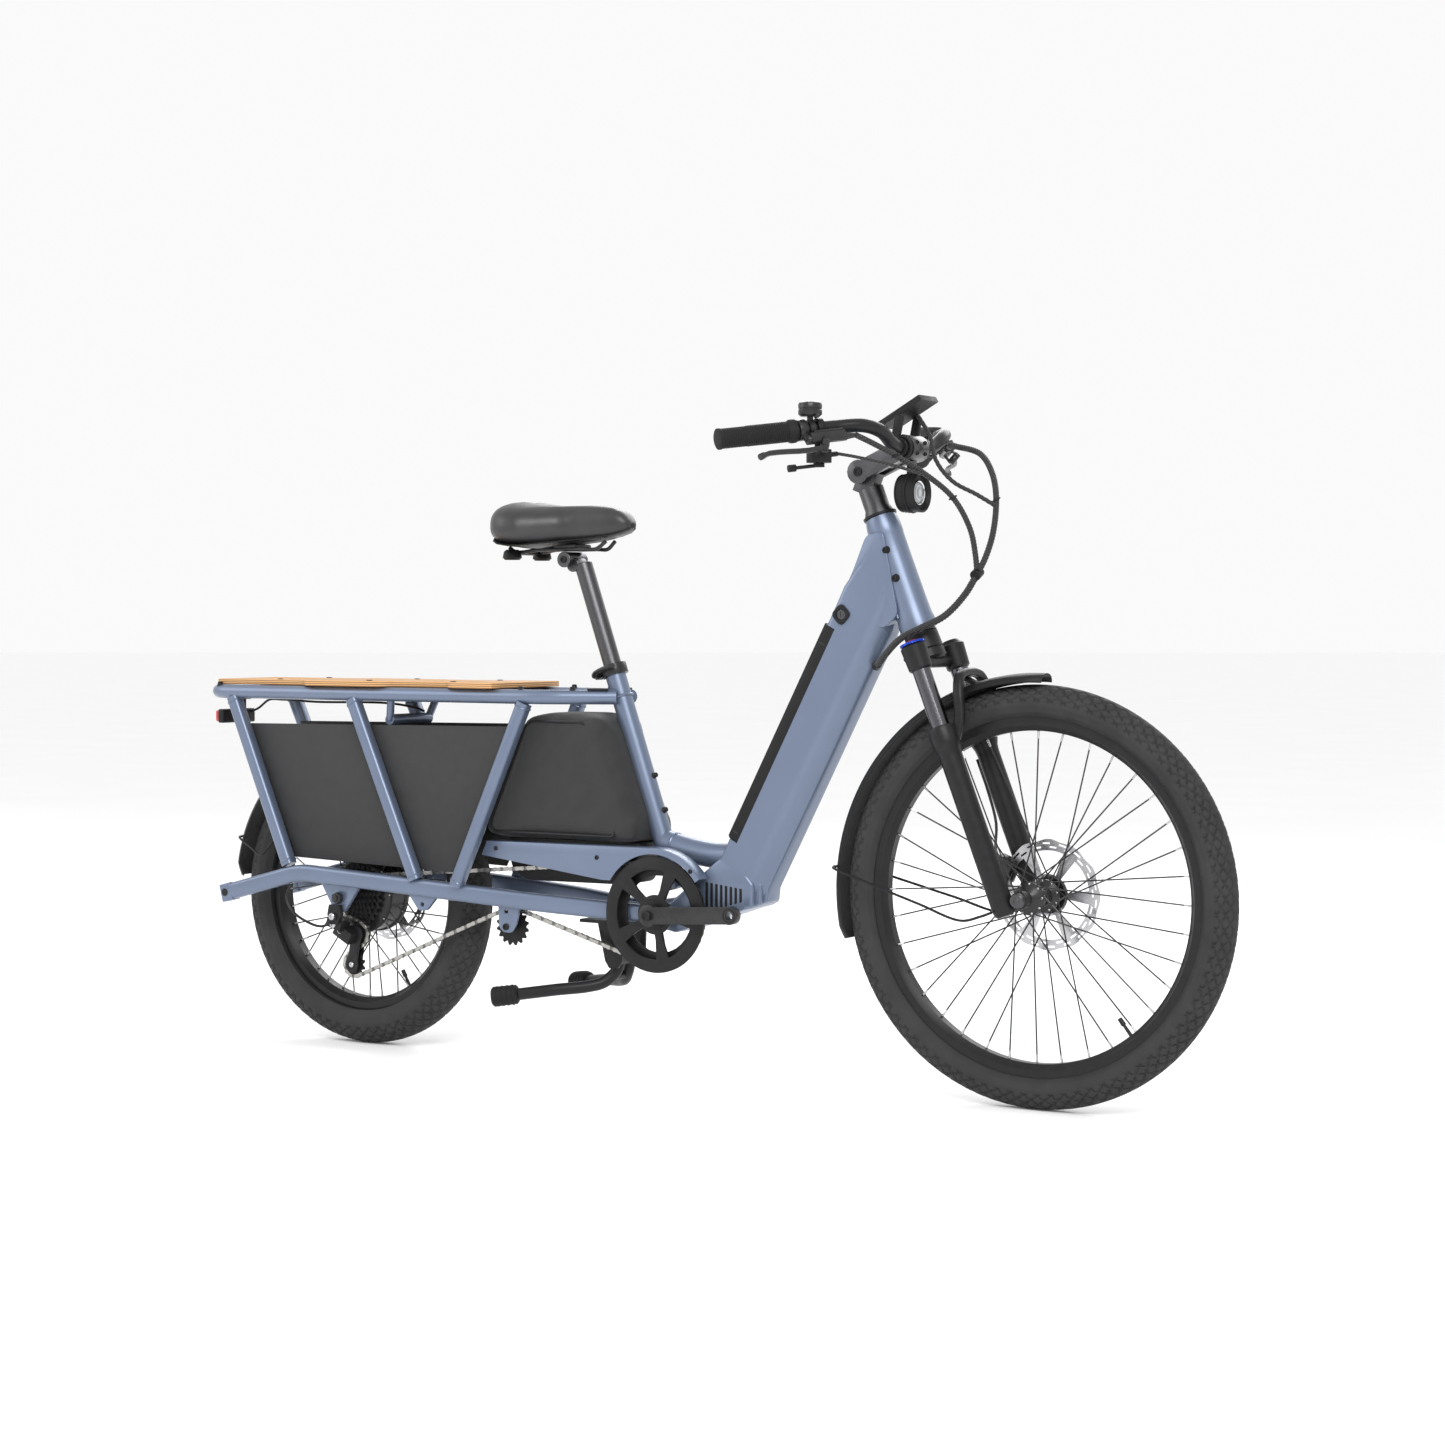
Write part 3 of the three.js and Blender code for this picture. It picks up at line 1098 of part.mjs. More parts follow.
function frontCaliper() {
  const turn = Math.PI / 2 - HEAD_ANGLE;
  const centre = onFork(62, -16, 40.6);
  const body = block(v3(30, 26, 46), centre, turn);
  const bracket = block(v3(20, 10, 30), onFork(58, -11, 52), turn);
  const slot = discSlot(FRONT_AXLE, FRONT_DISC_Y);
  const pipe = hose([
    onFork(78, -22, 50), onFork(100, -26, 56), onFork(140, -14, 64), onFork(200, -9.6, 66),
    onFork(250, -9.6, 66),
  ], 2.4, 16);
  const onLeg = (height) => onFork(height, FORK_LEG_FORWARD, FORK_LEG_Y);
  const legSpace = rod(onLeg(-30), onLeg(262), 19, 19, 14);
  return cut(join(body, bracket, pipe), slot, legSpace);
}

function frontFender() {
  const shell = fenderArc(FRONT_AXLE, FRONT_FENDER_RADIUS, 33, 87.5, 194);
  const stays = [LEFT, RIGHT].map((side) => hose([
    v3(1008, side * 28, 374), v3(1008, side * 38, 373), v3(1060, side * 48, 358), v3(1180, side * 64, 325),
    v3(1262, side * 74, 303), v3(1300, side * 80, 312), v3(1322, side * 84, 320),
  ], 2.2, 11, 6));
  const bridge = pin(1004.6, 374, -30, 30, 2.2, 8);
  const mount = block(v3(22, 14, 6), onFork(362.5, FORK_LEG_FORWARD + 46, 0), Math.PI / 2 - HEAD_ANGLE);
  return join(shell, stays, bridge, mount);
}

add('fork_crown', forkCrown(), BLACK_METAL);
add('preload_dial', preloadDial(), DIAL_BLUE);
add('fork_lowers', forkLowers(), BLACK_METAL);
add('front_caliper', frontCaliper(), BLACK_METAL);
add('front_fender', frontFender(), BLACK_PLASTIC);

// ---------------------------------------------------------------- stem and handlebar
const STEM_PIVOT = onFork(STEM_PIVOT_HEIGHT);
const BAR_CENTRE = v3(1130, 0, 1060);

function stemBase() {
  const body = turned([
    [0, 674], [27, 674], [21, 688], [21, 722], [0, 722],
  ], STEER_FOOT, STEER_UP, 16);
  const tongue = pin(STEM_PIVOT.x, STEM_PIVOT.z, -12.5, 12.5, 19, 16);
  const neck = new THREE.BoxGeometry(34, 25, 40);
  neck.rotateY(Math.PI / 2 - HEAD_ANGLE);
  const at = onFork(734);
  neck.translate(at.x, 0, at.z);
  const bore = rod(onFork(660), onFork(718), 14.8, 14.8, 14);
  const pinHole = pin(STEM_PIVOT.x, STEM_PIVOT.z, -30, 30, 5.6, 12);
  return cut(join(body, tongue, solid(neck)), bore, pinHole);
}

const BAR_CENTRE_RADIUS = 15.8;
const barClampBore = () => pin(BAR_CENTRE.x, BAR_CENTRE.z, -60, 60, BAR_CENTRE_RADIUS + 0.5, 14);

function stemArm() {
  const lean = Math.atan2(BAR_CENTRE.z - STEM_PIVOT.z, BAR_CENTRE.x - STEM_PIVOT.x);
  const length = BAR_CENTRE.distanceTo(STEM_PIVOT);
  const cheeks = [LEFT, RIGHT].map((side) => {
    const from = side * 13.2;
    const to = side * 25;
    const disc = pin(STEM_PIVOT.x, STEM_PIVOT.z, from, to, 20, 16);
    const cheek = new THREE.BoxGeometry(length, Math.abs(to - from), 32);
    cheek.translate(length / 2, (from + to) / 2, 0);
    cheek.rotateY(-lean);
    cheek.translate(STEM_PIVOT.x, 0, STEM_PIVOT.z);
    return join(disc, solid(cheek));
  });
  const bridgeGeometry = new THREE.BoxGeometry(length - 46, 40, 26);
  bridgeGeometry.translate((length + 46) / 2 - 2, 0, 0);
  bridgeGeometry.rotateY(-lean);
  bridgeGeometry.translate(STEM_PIVOT.x, 0, STEM_PIVOT.z);
  const clamp = pin(BAR_CENTRE.x, BAR_CENTRE.z, -26, 26, 22, 16);
  const hinge = pin(STEM_PIVOT.x, STEM_PIVOT.z, -20, 20, 5, 12);
  const lampPost = block(v3(14, 8, 22), v3(1133, 0, 1033.4));
  return cut(join(cheeks, solid(bridgeGeometry), clamp, hinge, lampPost), barClampBore());
}

// Right half of the bar from the clamp to the grip's end; the left half mirrors it.
const BAR_HALF = [
  v3(1130, 0, 1060), v3(1130, -38, 1060), v3(1133, -70, 1066), v3(1133, -104, 1082), v3(1120, -138, 1090),
  v3(1088, -172, 1087), v3(1048, -228, 1079), v3(1010, -281, 1071), v3(973, -332, 1063.5),
];
const BAR_END = BAR_HALF[8];
const GRIP_START = BAR_HALF[6];
const BAR_OUT = BAR_END.clone().sub(GRIP_START).normalize();
const BAR_AHEAD = v3(-BAR_OUT.y, BAR_OUT.x, 0).normalize();

// A point on the straight part of the right half, by its distance inboard of the grip.
const onBar = (inboard) => GRIP_START.clone().addScaledVector(BAR_OUT, -inboard);

function handlebar() {
  const left = BAR_HALF.slice(1).reverse().map((p) => v3(p.x, -p.y, p.z));
  const tube = hose([...left, ...BAR_HALF], BAR_RADIUS, 28, 8);
  const centre = pin(BAR_CENTRE.x, BAR_CENTRE.z, -42, 42, BAR_CENTRE_RADIUS, 14);
  return join(tube, centre);
}

const BAR_SPACE_RADIUS = BAR_RADIUS + 1.2;

function gripRight() {
  const inner = GRIP_START.clone().addScaledVector(BAR_OUT, 2);
  const outer = BAR_END.clone().addScaledVector(BAR_OUT, 6);
  const sleeve = rod(inner, outer, GRIP_RADIUS, GRIP_RADIUS, 16);
  const collar = rod(inner, inner.clone().addScaledVector(BAR_OUT, 12), 18.5, 18.5, 16);
  const boreEnd = BAR_END.clone().addScaledVector(BAR_OUT, 2.6);
  const bore = rod(onBar(10), boreEnd, BAR_SPACE_RADIUS, BAR_SPACE_RADIUS, 16);
  return cut(join(sleeve, collar), bore);
}

// Bore that clears the bar over its straight run beside the grip.
const barSpace = () => rod(onBar(-10), onBar(66), BAR_SPACE_RADIUS, BAR_SPACE_RADIUS, 14);

const barRing = (inboard, width, radius) => rod(onBar(inboard), onBar(inboard + width), radius, radius, 14);

const LEVER_DROP = THREE.MathUtils.degToRad(40);
const LEVER_OUT = BAR_AHEAD.clone()
  .multiplyScalar(Math.cos(LEVER_DROP))
  .add(v3(0, 0, -Math.sin(LEVER_DROP)));
const CYLINDER_DROP = 26;
const LEVER_PIVOT = onBar(36).addScaledVector(LEVER_OUT, 44.4);
const LEVER_AXIS = BAR_OUT.clone().cross(LEVER_OUT).normalize();

// Clamp ring, neck and master cylinder of a hydraulic brake, with two ears for the lever pin.
function brakePerch() {
  const beside = (inboard) => onBar(inboard).addScaledVector(LEVER_OUT, CYLINDER_DROP);
  const ring = barRing(2, 13, 17);
  const neck = rod(onBar(9), beside(12), 6, 6, 8);
  const cylinder = rod(beside(78), beside(10), 7, 8, 12);
  const fitting = rod(beside(93), beside(77), 4, 6, 8);
  const ears = [1, -1].map((end) => {
    const near = LEVER_PIVOT.clone().addScaledVector(LEVER_AXIS, end * 5.6);
    const far = LEVER_PIVOT.clone().addScaledVector(LEVER_AXIS, end * 10.4);
    const root = beside(36).addScaledVector(LEVER_AXIS, end * 6);
    return join(rod(near, far, 6, 6, 8), rod(root, far.lerp(near, 0.2), 2.6, 2.6, 5));
  });
  return cut(join(ring, neck, cylinder, fitting, ears), barSpace());
}

// Curved blade that runs along the grip, turning about its pin.
function brakeLever() {
  const onAxis = (along) => LEVER_PIVOT.clone().addScaledVector(LEVER_AXIS, along);
  const hub = rod(onAxis(-5), onAxis(5), 6, 6, 12);
  const at = (out, ahead) => onAxis(0).addScaledVector(BAR_OUT, out).addScaledVector(LEVER_OUT, ahead);
  const blade = hose([at(0, 1), at(18, 6), at(40, 7), at(74, 4), at(98, 4), at(112, 9)], 4.4, 7, 6);
  const knob = rod(at(108, 7), at(116, 11), 5.5, 5.5, 8);
  return join(hub, blade, knob);
}

const POD_CENTRE = onBar(40).add(v3(0, 0, -43));

function shifterPod() {
  const ring = barRing(34, 11, 16);
  const neck = rod(onBar(39.5).add(v3(0, 0, -13)), POD_CENTRE, 7, 7, 8);
  const pod = rod(POD_CENTRE.clone().add(v3(0, 0, -11)), POD_CENTRE.clone().add(v3(0, 0, 10)), 20, 20, 18);
  const cableExit = rod(POD_CENTRE, POD_CENTRE.clone().addScaledVector(BAR_OUT, -32), 4.5, 4, 8);
  return cut(join(ring, neck, pod, cableExit), barSpace());
}

const SHIFT_PIVOT = POD_CENTRE.clone().add(v3(0, 0, -15));

function shifterLever() {
  const hub = rod(SHIFT_PIVOT.clone().add(v3(0, 0, -3)), SHIFT_PIVOT.clone().add(v3(0, 0, 3.4)), 9, 9, 14);
  const tip = SHIFT_PIVOT.clone().addScaledVector(BAR_OUT, 34).addScaledVector(BAR_AHEAD, -16);
  const stalk = rod(SHIFT_PIVOT, tip, 3, 3, 8);
  const thumbPad = rod(tip, tip.clone().addScaledVector(BAR_OUT, 12), 6, 6, 10);
  return join(hub, stalk, thumbPad);
}

function bell() {
  const ring = barRing(20, 9, 15);
  const seat = onBar(24.5);
  const post = rod(seat.clone().add(v3(0, 0, 13)), seat.clone().add(v3(0, 0, 22)), 5, 5, 10);
  const drum = turned([[0, 20], [16, 20], [19, 24], [19, 39], [16, 43], [0, 44]], seat, v3(0, 0, 1), 14);
  return cut(join(ring, post, drum), barSpace());
}

// Left perch with the display's button pad clamped beside it.
function controlPad() {
  const ring = barRing(14, 16, 15);
  const seat = onBar(24).add(v3(0, 0, 16));
  const pad = rod(seat.clone().add(v3(-6, 0, -6)), seat.clone().add(v3(-6, 0, 10)), 18, 20, 14);
  return cut(join(ring, pad), barSpace());
}

const DISPLAY_TILT = THREE.MathUtils.degToRad(29);

function displayUnit() {
  const slab = new THREE.BoxGeometry(88, 62, 10);
  slab.rotateY(-DISPLAY_TILT);
  slab.translate(1125, 0, 1119);
  const arms = [LEFT, RIGHT].map((side) => {
    const ring = pin(BAR_CENTRE.x, BAR_CENTRE.z, side * 27, side * 35, 20.5, 14);
    const post = block(v3(14, 8, 42), v3(1123, side * 31, 1092), 0.2);
    return join(ring, post);
  });
  return cut(join(solid(slab), arms), barClampBore());
}

const LAMP_CENTRE = v3(1133, 0, 987.6);
const LAMP_PIVOT = v3(1133, 0, 1026);

function headlight() {
  const shell = turned([
    [0, -20], [27, -20], [31, -14], [32, 14], [32, 20], [28, 20], [26, 16], [0, 16],
  ], LAMP_CENTRE, v3(1, 0, 0), 28);
  const ears = [LEFT, RIGHT].map((side) => block(v3(12, 3, 20), v3(LAMP_PIVOT.x, side * 6, 1023)));
  return join(shell, ears);
}

add('stem_base', stemBase(), DARK_GREY_METAL);
add('stem_arm', stemArm(), DARK_GREY_METAL);
add('handlebar', handlebar(), BLACK_METAL);
add('headlight', headlight(), BLACK_PLASTIC);
add('display', displayUnit(), BLACK_PLASTIC);

const perch = brakePerch();
const lever = brakeLever();
const grip = gripRight();
add('grip_right', grip, GRIP_RUBBER);
add('grip_left', mirrorY(grip), GRIP_RUBBER);
add('brake_perch_right', perch, DARK_GREY_METAL);
add('brake_perch_left', mirrorY(join(perch, controlPad())), DARK_GREY_METAL);
add('brake_lever_right', lever, DARK_GREY_METAL);
add('brake_lever_left', mirrorY(lever), DARK_GREY_METAL);
add('shifter_pod', shifterPod(), BLACK_PLASTIC);
add('shifter_lever', shifterLever(), BLACK_PLASTIC);
add('bell', bell(), BLACK_METAL);

// ---------------------------------------------------------------- cables
const CABLE_CLIP = v3(1246, 12, 855);

function cableBundle() {
  const start = onBar(95.2).addScaledVector(LEVER_OUT, CYLINDER_DROP);
  const right = hose([
    start, v3(1130, -126, 1062), v3(1150, -88, 1044), v3(1180, -45, 1016), v3(1214, -12, 978),
    v3(1236, 6, 928), v3(1244, 10, 885), CABLE_CLIP,
  ], 5, 13, 6);
  const left = hose([
    v3(start.x, -start.y, start.z), v3(1142, 140, 1070), v3(1196, 118, 1056), v3(1236, 84, 1022),
    v3(1262, 48, 976), v3(1268, 24, 920), v3(1258, 16, 880), CABLE_CLIP,
  ], 5.5, 13, 6);
  const display = hose([
    v3(1138, 12, 1113), v3(1158, 15, 1080), v3(1170, 14, 1040), v3(1198, 18, 1006), v3(1236, 30, 984),
    v3(1264, 40, 966),
  ], 4, 12, 6);
  const lower = hose([
    CABLE_CLIP, v3(1230, 0, 822), v3(1204, -20, 788), v3(1174, -42, 769), v3(1142, -52, 752),
    v3(1112, -46, 728), v3(1094, -36, 713), v3(1083.5, -29, 706),
  ], 6, 13);
  const clip = rod(v3(1246, 4, 852), v3(1246, 20, 860), 9, 9, 10);
  const pod = POD_CENTRE.clone().addScaledVector(BAR_OUT, -33);
  const gear = hose([pod, v3(1112, -146, 1040), v3(1150, -96, 1028), v3(1181, -45, 1014)], 2.6, 8, 6);
  return join(right, left, display, lower, clip, gear);
}

add('cable_bundle', cableBundle(), BLACK_PLASTIC);

export default bicycle;
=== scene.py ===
import math

import bmesh
import bpy
from mathutils import Matrix, Quaternion, Vector


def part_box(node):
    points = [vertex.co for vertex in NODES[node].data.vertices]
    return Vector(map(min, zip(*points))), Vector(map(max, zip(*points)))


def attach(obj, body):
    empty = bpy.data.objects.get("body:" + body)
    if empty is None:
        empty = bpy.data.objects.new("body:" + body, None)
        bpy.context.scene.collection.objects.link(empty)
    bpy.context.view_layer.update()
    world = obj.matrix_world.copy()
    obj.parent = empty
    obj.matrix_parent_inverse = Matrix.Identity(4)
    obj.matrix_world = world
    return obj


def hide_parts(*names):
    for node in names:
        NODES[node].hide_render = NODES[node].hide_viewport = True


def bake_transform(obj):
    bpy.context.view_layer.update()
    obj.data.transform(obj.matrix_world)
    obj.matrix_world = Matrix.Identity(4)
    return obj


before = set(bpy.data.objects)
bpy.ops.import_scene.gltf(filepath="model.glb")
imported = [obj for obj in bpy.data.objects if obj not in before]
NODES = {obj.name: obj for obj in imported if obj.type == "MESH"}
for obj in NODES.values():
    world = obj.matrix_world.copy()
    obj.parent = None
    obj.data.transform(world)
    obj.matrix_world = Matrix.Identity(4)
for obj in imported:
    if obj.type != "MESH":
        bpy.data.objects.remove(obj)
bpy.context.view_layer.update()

# ---------------------------------------------------------------- places and sizes
# Shapes are written in millimetres from the point on the ground under the rear axle.
MM = 0.001
LEFT, RIGHT = 1, -1


def middle(node):
    low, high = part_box(node)
    return (low + high) / 2


REAR = middle("rear_tyre")
FRONT = middle("front_tyre")
TO_METRES = Matrix.Translation(Vector((REAR.x, 0, 0))) @ Matrix.Scale(MM, 4)
TO_MM = TO_METRES.inverted()


def place(x, y, z):
    return TO_METRES @ Vector((x, y, z))


def span(node):
    """A CAD node's lowest and highest corner in millimetres."""
    low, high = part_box(node)
    return TO_MM @ low, TO_MM @ high


WHEELBASE = (FRONT.x - REAR.x) / MM
FRONT_R = span("front_tyre")[1].z / 2
REAR_R = span("rear_tyre")[1].z / 2
REAR_AXLE = Vector((0, 0, REAR_R))
FRONT_AXLE = Vector((WHEELBASE, 0, FRONT_R))

HEAD_ANGLE = math.radians(68.6)
FORK_OFFSET = 43.7
LEG_AHEAD = 13
LEG_Y = 66
STEER_UP = Vector((-math.cos(HEAD_ANGLE), 0, math.sin(HEAD_ANGLE)))
STEER_AHEAD = Vector((math.sin(HEAD_ANGLE), 0, math.cos(HEAD_ANGLE)))
STEER_FOOT = FRONT_AXLE - STEER_AHEAD * FORK_OFFSET
Y = Vector((0, 1, 0))

RACK_Z = 647
RACK_HALF = 84
RACK_REAR_X = -308
RACK_BEND_X = 440
RACK_CORNER = 46
RAIL_Z = 318
RAIL_HALF = 95
SEAT_SLOPE = 0.351
BEAM_SLOPE = 0.524
CRANK = Vector((675, 0, 279))
IDLER = Vector((366, 0, 241))
TENSION = Vector((8, 0, 150))
GUIDE = Vector((18, 0, 206))
CHAIN_Y = -52
PITCH = 12.7
TRAIN = [(CRANK, 44, 1), (IDLER, 16, -1), (TENSION, 11, 1), (GUIDE, 11, -1), (REAR_AXLE, 18, 1)]
BAR = [
    Vector(p) for p in [
        (1130, 0, 1060), (1130, -38, 1060), (1133, -70, 1066), (1133, -104, 1082), (1120, -138, 1090),
        (1088, -172, 1087), (1048, -228, 1079), (1010, -281, 1071), (973, -332, 1063.5)]
]
GRIP_START, BAR_END = BAR[6], BAR[8]
BAR_OUT = (BAR_END - GRIP_START).normalized()
BAR_AHEAD = Vector((-BAR_OUT.y, BAR_OUT.x, 0)).normalized()
LEVER_DROP = math.radians(40)
LEVER_OUT = BAR_AHEAD * math.cos(LEVER_DROP) - Vector((0, 0, math.sin(LEVER_DROP)))


def on_fork(height, ahead=0, y=0):
    p = STEER_FOOT + STEER_UP * height + STEER_AHEAD * ahead
    return Vector((p.x, y, p.z))


def on_seat_tube(z, y=0):
    return Vector((545 + (700 - z) * SEAT_SLOPE, y, z))


def on_bar(inboard):
    return GRIP_START - BAR_OUT * inboard


def side_y(z):
    return RACK_HALF + (RACK_Z - z) * (RAIL_HALF - RACK_HALF) / (RACK_Z - RAIL_Z)


def flip(points):
    return [Vector((p[0], -p[1], p[2])) for p in points]


def pitch_radius(teeth):
    return PITCH / (2 * math.sin(math.pi / teeth))


# ---------------------------------------------------------------- materials
def nodes_of(name):
    made = bpy.data.materials.new(name)
    made.use_nodes = True
    return made, made.node_tree, made.node_tree.nodes["Principled BSDF"]


def texture(tree, kind, scale, stretch=(1, 1, 1)):
    where = tree.nodes.new("ShaderNodeTexCoord")
    mapping = tree.nodes.new("ShaderNodeMapping")
    mapping.inputs["Scale"].default_value = stretch
    made = tree.nodes.new(kind)
    made.inputs["Scale"].default_value = scale
    tree.links.new(where.outputs["Object"], mapping.inputs["Vector"])
    tree.links.new(mapping.outputs["Vector"], made.inputs["Vector"])
    return made


def ramp(tree, value, low, high, start=0.3, end=0.7):
    made = tree.nodes.new("ShaderNodeValToRGB")
    made.color_ramp.elements[0].position = start
    made.color_ramp.elements[1].position = end
    made.color_ramp.elements[0].color = (*low, 1)
    made.color_ramp.elements[1].color = (*high, 1)
    tree.links.new(value, made.inputs["Fac"])
    return made.outputs["Color"]


def spread(tree, value, low, high):
    made = tree.nodes.new("ShaderNodeMapRange")
    made.inputs["To Min"].default_value = low
    made.inputs["To Max"].default_value = high
    tree.links.new(value, made.inputs["Value"])
    return made.outputs["Result"]


def bump(tree, shader, height, strength, distance=0.001):
    made = tree.nodes.new("ShaderNodeBump")
    made.inputs["Strength"].default_value = strength
    made.inputs["Distance"].default_value = distance
    tree.links.new(height, made.inputs["Height"])
    tree.links.new(made.outputs["Normal"], shader.inputs["Normal"])


def finish(name, colour, rough, metal=0.0, vary=0.12, grain=60, relief=0.1, relief_scale=900, coat=0.0,
           gloss=0.4):
    """A painted, cast or moulded surface: slow tone changes, uneven gloss and a fine relief."""
    made, tree, shader = nodes_of(name)
    slow = texture(tree, "ShaderNodeTexNoise", grain)
    fine = texture(tree, "ShaderNodeTexNoise", relief_scale)
    dark = tuple(c * (1 - vary) for c in colour)
    light = tuple(min(1, c * (1 + vary)) for c in colour)
    tree.links.new(ramp(tree, slow.outputs["Fac"], dark, light), shader.inputs["Base Color"])
    tree.links.new(spread(tree, slow.outputs["Fac"], rough - 0.06, rough + 0.06),
                   shader.inputs["Roughness"])
    shader.inputs["Metallic"].default_value = metal
    shader.inputs["Specular IOR Level"].default_value = gloss
    shader.inputs["Coat Weight"].default_value = coat
    shader.inputs["Coat Roughness"].default_value = 0.25
    bump(tree, shader, fine.outputs["Fac"], relief)
    return made


def brushed(name, colour, rough, stretch):
    """Bare metal with scratches drawn out along one direction."""
    made, tree, shader = nodes_of(name)
    lines = texture(tree, "ShaderNodeTexNoise", 220, stretch)
    tree.links.new(
        ramp(tree, lines.outputs["Fac"], tuple(c * 0.8 for c in colour), colour),
        shader.inputs["Base Color"])
    tree.links.new(spread(tree, lines.outputs["Fac"], rough - 0.1, rough + 0.12),
                   shader.inputs["Roughness"])
    shader.inputs["Metallic"].default_value = 1.0
    bump(tree, shader, lines.outputs["Fac"], 0.08)
    return made


def plywood():
    """Oiled bamboo ply: long grain on top, thin layers at the cut edge."""
    made, tree, shader = nodes_of("plywood")
    grain = texture(tree, "ShaderNodeTexNoise", 26, (0.6, 12, 12))
    grain.inputs["Detail"].default_value = 8
    strips = texture(tree, "ShaderNodeTexWave", 11, (0, 1, 0))
    strips.bands_direction = "Y"
    strips.inputs["Distortion"].default_value = 0.6
    layers = texture(tree, "ShaderNodeTexWave", 95, (0, 0, 1))
    layers.bands_direction = "Z"
    top = ramp(tree, grain.outputs["Fac"], (0.36, 0.17, 0.06), (0.62, 0.36, 0.15), 0.35, 0.65)
    seams = ramp(tree, strips.outputs["Fac"], (0.8, 0.8, 0.8), (1, 1, 1), 0.02, 0.14)
    edge = ramp(tree, layers.outputs["Fac"], (0.20, 0.09, 0.03), (0.62, 0.36, 0.15), 0.35, 0.6)
    shade = tree.nodes.new("ShaderNodeMix")
    shade.data_type = "RGBA"
    shade.blend_type = "MULTIPLY"
    shade.inputs["Factor"].default_value = 1.0
    tree.links.new(top, shade.inputs["A"])
    tree.links.new(seams, shade.inputs["B"])
    geometry = tree.nodes.new("ShaderNodeNewGeometry")
    split = tree.nodes.new("ShaderNodeSeparateXYZ")
    flatness = tree.nodes.new("ShaderNodeMath")
    flatness.operation = "ABSOLUTE"
    upright = tree.nodes.new("ShaderNodeMath")
    upright.operation = "GREATER_THAN"
    upright.inputs[1].default_value = 0.6
    pick = tree.nodes.new("ShaderNodeMix")
    pick.data_type = "RGBA"
    tree.links.new(geometry.outputs["True Normal"], split.inputs["Vector"])
    tree.links.new(split.outputs["Z"], flatness.inputs[0])
    tree.links.new(flatness.outputs["Value"], upright.inputs[0])
    tree.links.new(upright.outputs["Value"], pick.inputs["Factor"])
    tree.links.new(edge, pick.inputs["A"])
    tree.links.new(shade.outputs["Result"], pick.inputs["B"])
    tree.links.new(pick.outputs["Result"], shader.inputs["Base Color"])
    tree.links.new(spread(tree, grain.outputs["Fac"], 0.42, 0.58), shader.inputs["Roughness"])
    bump(tree, shader, grain.outputs["Fac"], 0.12)
    return made


def woven(name, colour, thread, strength=0.5, shade=0.55):
    """Plain-weave cloth or a braided sleeve: two crossing sets of threads, with painted shade in the gaps
    between them.
    """
    made, tree, shader = nodes_of(name)
    across = texture(tree, "ShaderNodeTexWave", thread, (1, 0.2, 1))
    across.bands_direction = "DIAGONAL"
    along = texture(tree, "ShaderNodeTexWave", thread, (-1, 0.2, 1))
    along.bands_direction = "DIAGONAL"
    product = tree.nodes.new("ShaderNodeMath")
    product.operation = "MULTIPLY"
    tree.links.new(across.outputs["Fac"], product.inputs[0])
    tree.links.new(along.outputs["Fac"], product.inputs[1])
    # painted shade: where the threads part, the colour falls to the shade fraction of the thread colour
    dark = tuple(c * shade for c in colour)
    tree.links.new(ramp(tree, product.outputs["Value"], dark, colour, 0.1, 0.6),
                   shader.inputs["Base Color"])
    cloud = texture(tree, "ShaderNodeTexNoise", 30)
    tree.links.new(spread(tree, cloud.outputs["Fac"], 0.62, 0.85), shader.inputs["Roughness"])
    shader.inputs["Sheen Weight"].default_value = 0.15
    bump(tree, shader, product.outputs["Value"], strength, 0.0006)
    return made


def leather():
    made, tree, shader = nodes_of("saddle_skin")
    cells = texture(tree, "ShaderNodeTexVoronoi", 520)
    cloud = texture(tree, "ShaderNodeTexNoise", 18)
    tree.links.new(
        ramp(tree, cloud.outputs["Fac"], (0.018, 0.018, 0.019), (0.030, 0.030, 0.032)),
        shader.inputs["Base Color"])
    tree.links.new(spread(tree, cloud.outputs["Fac"], 0.34, 0.46), shader.inputs["Roughness"])
    bump(tree, shader, cells.outputs["Distance"], 0.18, 0.0004)
    return made


def lens(name, colour, glow=0.0):
    """Tinted clear plastic with moulded ribs."""
    made, tree, shader = nodes_of(name)
    ribs = texture(tree, "ShaderNodeTexWave", 190, (1, 1, 1))
    tree.links.new(
        ramp(tree, ribs.outputs["Fac"], tuple(c * 0.6 for c in colour), colour),
        shader.inputs["Base Color"])
    tree.links.new(spread(tree, ribs.outputs["Fac"], 0.08, 0.2), shader.inputs["Roughness"])
    shader.inputs["Coat Weight"].default_value = 0.8
    shader.inputs["Emission Color"].default_value = (*colour, 1)
    shader.inputs["Emission Strength"].default_value = glow
    bump(tree, shader, ribs.outputs["Fac"], 0.3, 0.0005)
    return made


PAINT = finish("frame_paint", (0.132, 0.166, 0.240), 0.34, metal=0.45, vary=0.04, grain=9, relief=0.05,
               relief_scale=2600, coat=0.25, gloss=0.4)
BLACK = finish("black_satin", (0.012, 0.012, 0.013), 0.36, metal=0.0, relief=0.08, gloss=0.22)
BLACK_GLOSS = finish("black_anodised", (0.020, 0.020, 0.021), 0.28, metal=0.0, relief=0.04, gloss=0.32)
PLASTIC = finish("black_plastic", (0.007, 0.007, 0.0075), 0.50, relief=0.25, relief_scale=1600, gloss=0.25)
PANEL = finish("panel_grain", (0.036, 0.036, 0.037), 0.62, vary=0.06, relief=0.5, relief_scale=1300,
               gloss=0.25)
GUNMETAL = brushed("gunmetal", (0.10, 0.10, 0.105), 0.34, (1, 1, 6))
STANCHION = brushed("stanchion_grey", (0.12, 0.12, 0.13), 0.2, (6, 6, 1))
STEEL = brushed("bare_steel", (0.55, 0.55, 0.57), 0.27, (5, 1, 5))
CHAIN_STEEL = brushed("chain_steel", (0.42, 0.41, 0.39), 0.30, (3, 3, 3))
